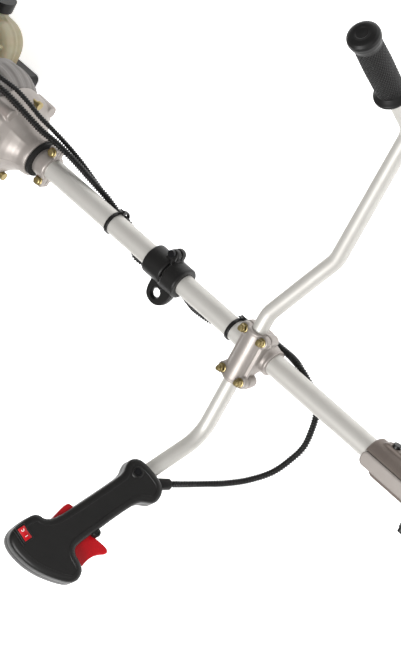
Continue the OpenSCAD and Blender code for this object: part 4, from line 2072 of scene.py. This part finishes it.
@dataclass
class EngineEnd:
    """The clutch bell, the collar, the fan housing and the tank."""

    nose: float = -384.0
    flange_at: float = -421.0
    back: float = -450.0
    fan_back: float = -498.0
    fan_radius: float = 65.5
    bolt_radius: float = 51.0
    tank_low: Triple = (-650.0, -66.0, -113.0)
    tank_high: Triple = (-540.0, 66.0, -63.0)
    tank_corner: float = 34.0
    cap_at: Pair = (-595.0, -88.0)

    def build(self) -> None:
        """Builds and dresses the pieces of the engine that are shown anew."""
        self._bell()
        self._collar()
        self._fan_housing()
        self._tank()
        self._collar_nuts()

    def _bell(self) -> None:
        """Builds the clutch bell, a ribbed casting with four bolt ears."""
        back, at = self.back, self.flange_at
        parts = [
            lathe(
                "bell",
                ALONG,
                rounded_steps(
                    [
                        (self.nose, 23.5),
                        (self.nose, 26.0),
                        (-388, 27.0),
                        (-395, 28.2),
                        (-402, 31.0),
                        (-409, 35.5),
                        (-415, 40.5),
                        (-420, 46.0),
                        (-424, 51.0),
                        (-429, 54.0),
                        (-436, 55.0),
                        (back, 55.2),
                    ],
                    2,
                ),
                120,
                relief=self._panels,
            )
        ]
        for i in range(4):
            ear = ALONG.turned(45 + 90 * i).moved(self.bolt_radius)
            parts.append(
                lathe("ear", ear, [(back, 8.5), (at - 1, 8.3), (at, 7.4)], 40)
            )
        bell = cast_as_one("clutch_bell", parts, 1.0, 3)
        cutters = [
            lathe("bore", ALONG, [(-376, 23.05), (back + 9, 23.05)], 96),
            lathe("inside", ALONG, [(back - 6, 46), (-427, 46), (-418, 38), (-414, 24)], 96),
        ]
        show(soften(cut(bell, cutters), 40), DIE_CAST, ["clutch_housing"])

    def _panels(self, along: float, angle: float) -> float:
        """Flattens the bell into six panels with a crease between them.

        Args:
            along: The distance along the shaft.
            angle: The angle round it, in radians.

        Returns:
            What to add to the bell's radius there.
        """
        share = max(0.0, min(1.0, (-388 - along) / 14, (along + 440) / 12))
        phase = (angle * 6 / TAU) % 1.0
        crease = abs(phase - 0.5) * 2
        return share * (1.2 * crease**6 - 0.9)

    def _collar(self) -> None:
        """Builds the tube collar in the bell's nose, with two clamping ears."""
        parts = [
            lathe(
                "collar",
                ALONG,
                [
                    (-405, 16.5),
                    (-379, 16.5),
                    (-376, 17.2),
                    (-363, 17.2),
                    (-361.4, 16.6),
                    (-361, 15.2),
                ],
                72,
            )
        ]
        for side in (-1, 1):
            parts.append(
                slab(
                    "ear",
                    SHAFT,
                    box_outline((-374, min(0, side * 26)), (-360, max(0, side * 26)), 5),
                    -7,
                    7,
                    (1.4, 1.4),
                )
            )
        collar = cast_as_one("tube_collar_casting", parts, 0.7, 3)
        cutters = [
            lathe("bore", ALONG, [(-420, TUBE_BORE), (-340, TUBE_BORE)], 72),
            slab("slit", SHAFT, box_outline((-382, -40), (-340, 40), 0.5), -0.7, 0.7, (0.1, 0.1)),
        ]
        show(soften(cut(collar, cutters), 45), DIE_CAST)

    def _fan_housing(self) -> None:
        """Builds the fan housing with ribs over its front shoulder."""
        front = self.back
        outer = self.fan_radius
        profile = [
            (self.fan_back, 46.0),
            (self.fan_back, outer),
            (-480, outer + 0.4),
            (-473, outer - 0.2),
            (-466, outer - 1.8),
            (-460, outer - 4.2),
            (-455, outer - 7.0),
            (-452, outer - 9.0),
            (front, outer - 11.0),
            (front, 45.0),
            (front - 4, 45.0),
            (front - 6, outer - 16),
            (self.fan_back + 3, outer - 6),
            (self.fan_back + 3, 46.0),
        ]
        housing = lathe(
            "fan_housing_casting",
            ALONG,
            rounded_steps(profile + [profile[0]], 2.0)[:-1],
            288,
            looped=True,
            relief=self._ribs,
        )
        show(soften(housing, 50), PAINTED_CASTING, ["fan_housing"])

    def _ribs(self, along: float, angle: float) -> float:
        """Raises 24 cooling ribs over the housing's outside."""
        share = max(0.0, min(1.0, (along - self.fan_back - 6) / 6))
        wave = math.cos(24 * angle)
        return share * 0.7 * max(-1.0, min(1.0, 2.5 * wave)) - 0.8

    def _tank(self) -> None:
        """Builds the blow-moulded tank with its pinch seam and filler neck."""
        low, high = self.tank_low, self.tank_high
        middle = (low[2] + high[2]) / 2
        parts = [
            slab(
                "tank",
                SHAFT,
                box_outline((low[0], low[1]), (high[0], high[1]), self.tank_corner),
                low[2],
                high[2],
                (16, 16),
            ),
            slab(
                "seam",
                SHAFT,
                inset(box_outline((low[0], low[1]), (high[0], high[1]), self.tank_corner), -1.2),
                middle - 1.1,
                middle + 1.1,
                (0.9, 0.9),
            ),
            lathe(
                "neck",
                axes((self.cap_at[0], high[1], self.cap_at[1]), (0, 1, 0), (1, 0, 0)),
                [(-6, 19), (3, 18), (5.6, 17.4), (6, 14)],
                64,
            ),
        ]
        tank = cast_as_one("fuel_tank_shell", parts, 1.6, 4)
        show(soften(tank, 60), TANK_HDPE, ["fuel_tank"])

    def _collar_nuts(self) -> None:
        """Builds the nuts that close the collar."""
        nuts = []
        for side in (-1, 1):
            place = SHAFT.moved(-367, side * 20)
            nuts += [
                lathe("washer", place, [(7, 5.6), (7.2, 5.9), (8, 5.9), (8.2, 5.6)], 32),
                lathe(
                    "nut",
                    place,
                    [(8.2, 4.6), (8.5, 4.9), (11.4, 4.9), (11.8, 4.2), (11.9, 2.6)],
                    BOLT_SIDES,
                ),
                lathe(
                    "under",
                    place,
                    [(-7, 4.6), (-7.2, 4.9), (-11.2, 4.9), (-11.5, 4.2)],
                    BOLT_SIDES,
                ),
            ]
        show(soften(joined("collar_nuts", nuts)), YELLOW_ZINC)


# ---------------------------------------------------------------- scene


KEPT: dict[str, Finish] = {
    "main_tube": ANODISED,
    "lower_tube": ANODISED,
    "drive_shaft_upper": MACHINED_STEEL,
    "drive_shaft_lower": MACHINED_STEEL,
    "shaft_bushes": BUSH_RUBBER,
    "bearings": MACHINED_STEEL,
    "clutch_drum": MACHINED_STEEL,
    "clutch_shoes": MACHINED_STEEL,
    "flywheel": DIE_CAST,
    "tube_collar": DIE_CAST,
    "isolator_bush": BUSH_RUBBER,
    "ignition_coil": BLACK_NYLON,
    "crankcase": PAINTED_CASTING,
    "crankshaft": MACHINED_STEEL,
    "piston_and_rod": MACHINED_STEEL,
    "cylinder": PAINTED_CASTING,
    "spark_plug": BUSH_RUBBER,
    "starter_cover": BLACK_NYLON,
    "starter_pulley": BLACK_NYLON,
    "starter_handle": BLACK_NYLON,
    "muffler": MUFFLER_ENAMEL,
    "carburettor": DIE_CAST,
    "carb_lever": MACHINED_STEEL,
    "choke_lever": RED_ABS,
    "air_filter_cover": BLACK_NYLON,
    "engine_cover": COVER_ABS,
    "fuel_cap": BLACK_NYLON,
    "primer_bulb": CLEAR_HOSE,
    "fuel_lines": CLEAR_HOSE,
    "tank_stand": BLACK_NYLON,
    "housing_bolts": YELLOW_ZINC,
    "black_screws": BLACK_OXIDE,
    "coupler_knob": BLACK_NYLON,
    "latch_button": BLACK_NYLON,
    "gearcase": DIE_CAST,
    "pinion_gear": MACHINED_STEEL,
    "output_shaft": MACHINED_STEEL,
    "guard": BLACK_NYLON,
    "guard_bracket": MUFFLER_ENAMEL,
    "head_housing": BLACK_NYLON,
    "bump_spool": BLACK_NYLON,
    "trimmer_line": NYLON_LINE,
}


@dataclass
class Studio:
    """The floor, the soft lights and the camera, in metres in the frame."""

    aim: Triple = (0.092, 0.0263, 0.0382)
    right: Triple = (0.6728, 0.4368, -0.597)
    up: Triple = (-0.5959, 0.7981, -0.0874)
    back: Triple = (0.4384, 0.4146, 0.7973)
    distance: float = 4.5
    lens: float = 219.0
    sensor: float = 36.0
    stand_foot: Pair = (-0.493, -0.1325)
    guard_rim: Pair = (1.13, -0.1685)
    glow: float = 0.75

    def camera(self) -> None:
        """Makes the camera and looks through it."""
        data = bpy.data.cameras.new("camera")
        data.lens = self.lens
        data.sensor_width = self.sensor
        data.clip_end = 50
        camera = bpy.data.objects.new("camera", data)
        turn = Matrix((self.right, self.up, self.back)).transposed()
        place = Vector(self.aim) + Vector(self.back) * self.distance
        camera.matrix_world = Matrix.Translation(place) @ turn.to_4x4()
        bpy.context.scene.collection.objects.link(camera)
        bpy.context.scene.camera = camera

    def lights(self) -> None:
        """Makes a large soft key, a faint fill and an even pale surround."""
        aim = Vector(self.aim)
        for name, way, size, power in (
            ("key", (0.3, -0.45, 1.1), 1.6, 95.0),
            ("fill", (0.9, 0.5, 0.9), 2.4, 14.0),
        ):
            data = bpy.data.lights.new(name, "AREA")
            data.shape = "DISK"
            data.size = size
            data.energy = power
            light = bpy.data.objects.new(name, data)
            light.location = aim + Vector(way).normalized() * 3.0
            light.rotation_mode = "QUATERNION"
            light.rotation_quaternion = (aim - light.location).to_track_quat("-Z", "Y")
            bpy.context.scene.collection.objects.link(light)
        world = bpy.data.worlds.new("surround")
        world.use_nodes = True
        surround = world.node_tree.nodes["Background"]
        surround.inputs["Color"].default_value = linear("#F4F4F2")
        surround.inputs["Strength"].default_value = 0.42
        bpy.context.scene.world = world
        bpy.context.scene.view_settings.view_transform = "Standard"

    def _ground(self, x: float) -> float:
        """The floor's height at x, on the line from the stand's foot to the guard's rim."""
        (rear, low), (front, high) = self.stand_foot, self.guard_rim
        return low + (high - low) * (x - rear) / (front - rear)

    def stage(self) -> None:
        """Makes the plain pale floor that the foot and the guard rest on."""
        reach = 6.0
        floor = mesh_object(
            "studio_floor",
            [
                Vector((x, y, self._ground(x)))
                for x, y in ((-reach, -reach), (reach, -reach), (reach, reach), (-reach, reach))
            ],
            [(0, 1, 2, 3)],
        )
        paper = Finish(
            "matt_white_paper",
            "black_plastic",
            "#FAFAFA",
            "#F7F7F7",
            roughness=0.9,
            grain=1.2,
            depth=0.02,
        )
        material = paper.material()
        shader = next(n for n in material.node_tree.nodes if n.type == "BSDF_PRINCIPLED")
        shader.inputs["Emission Color"].default_value = linear("#FFFFFF")
        shader.inputs["Emission Strength"].default_value = self.glow
        floor.data.materials.append(material)


def main() -> None:
    """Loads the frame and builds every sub-assembly."""
    logging.basicConfig(level=logging.INFO, format="%(message)s")
    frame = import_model()
    studio = Studio()
    studio.camera()
    Handlebar().build()
    ThrottleHandle().build()
    Conduit().build()
    HandlebarClamp().build()
    HarnessClamp().build()
    Coupler().build()
    EngineEnd().build()
    for name, finish in KEPT.items():
        dress(frame["nodes"], [name], finish)
    studio.lights()
    studio.stage()


if __name__ == "__main__":
    main()
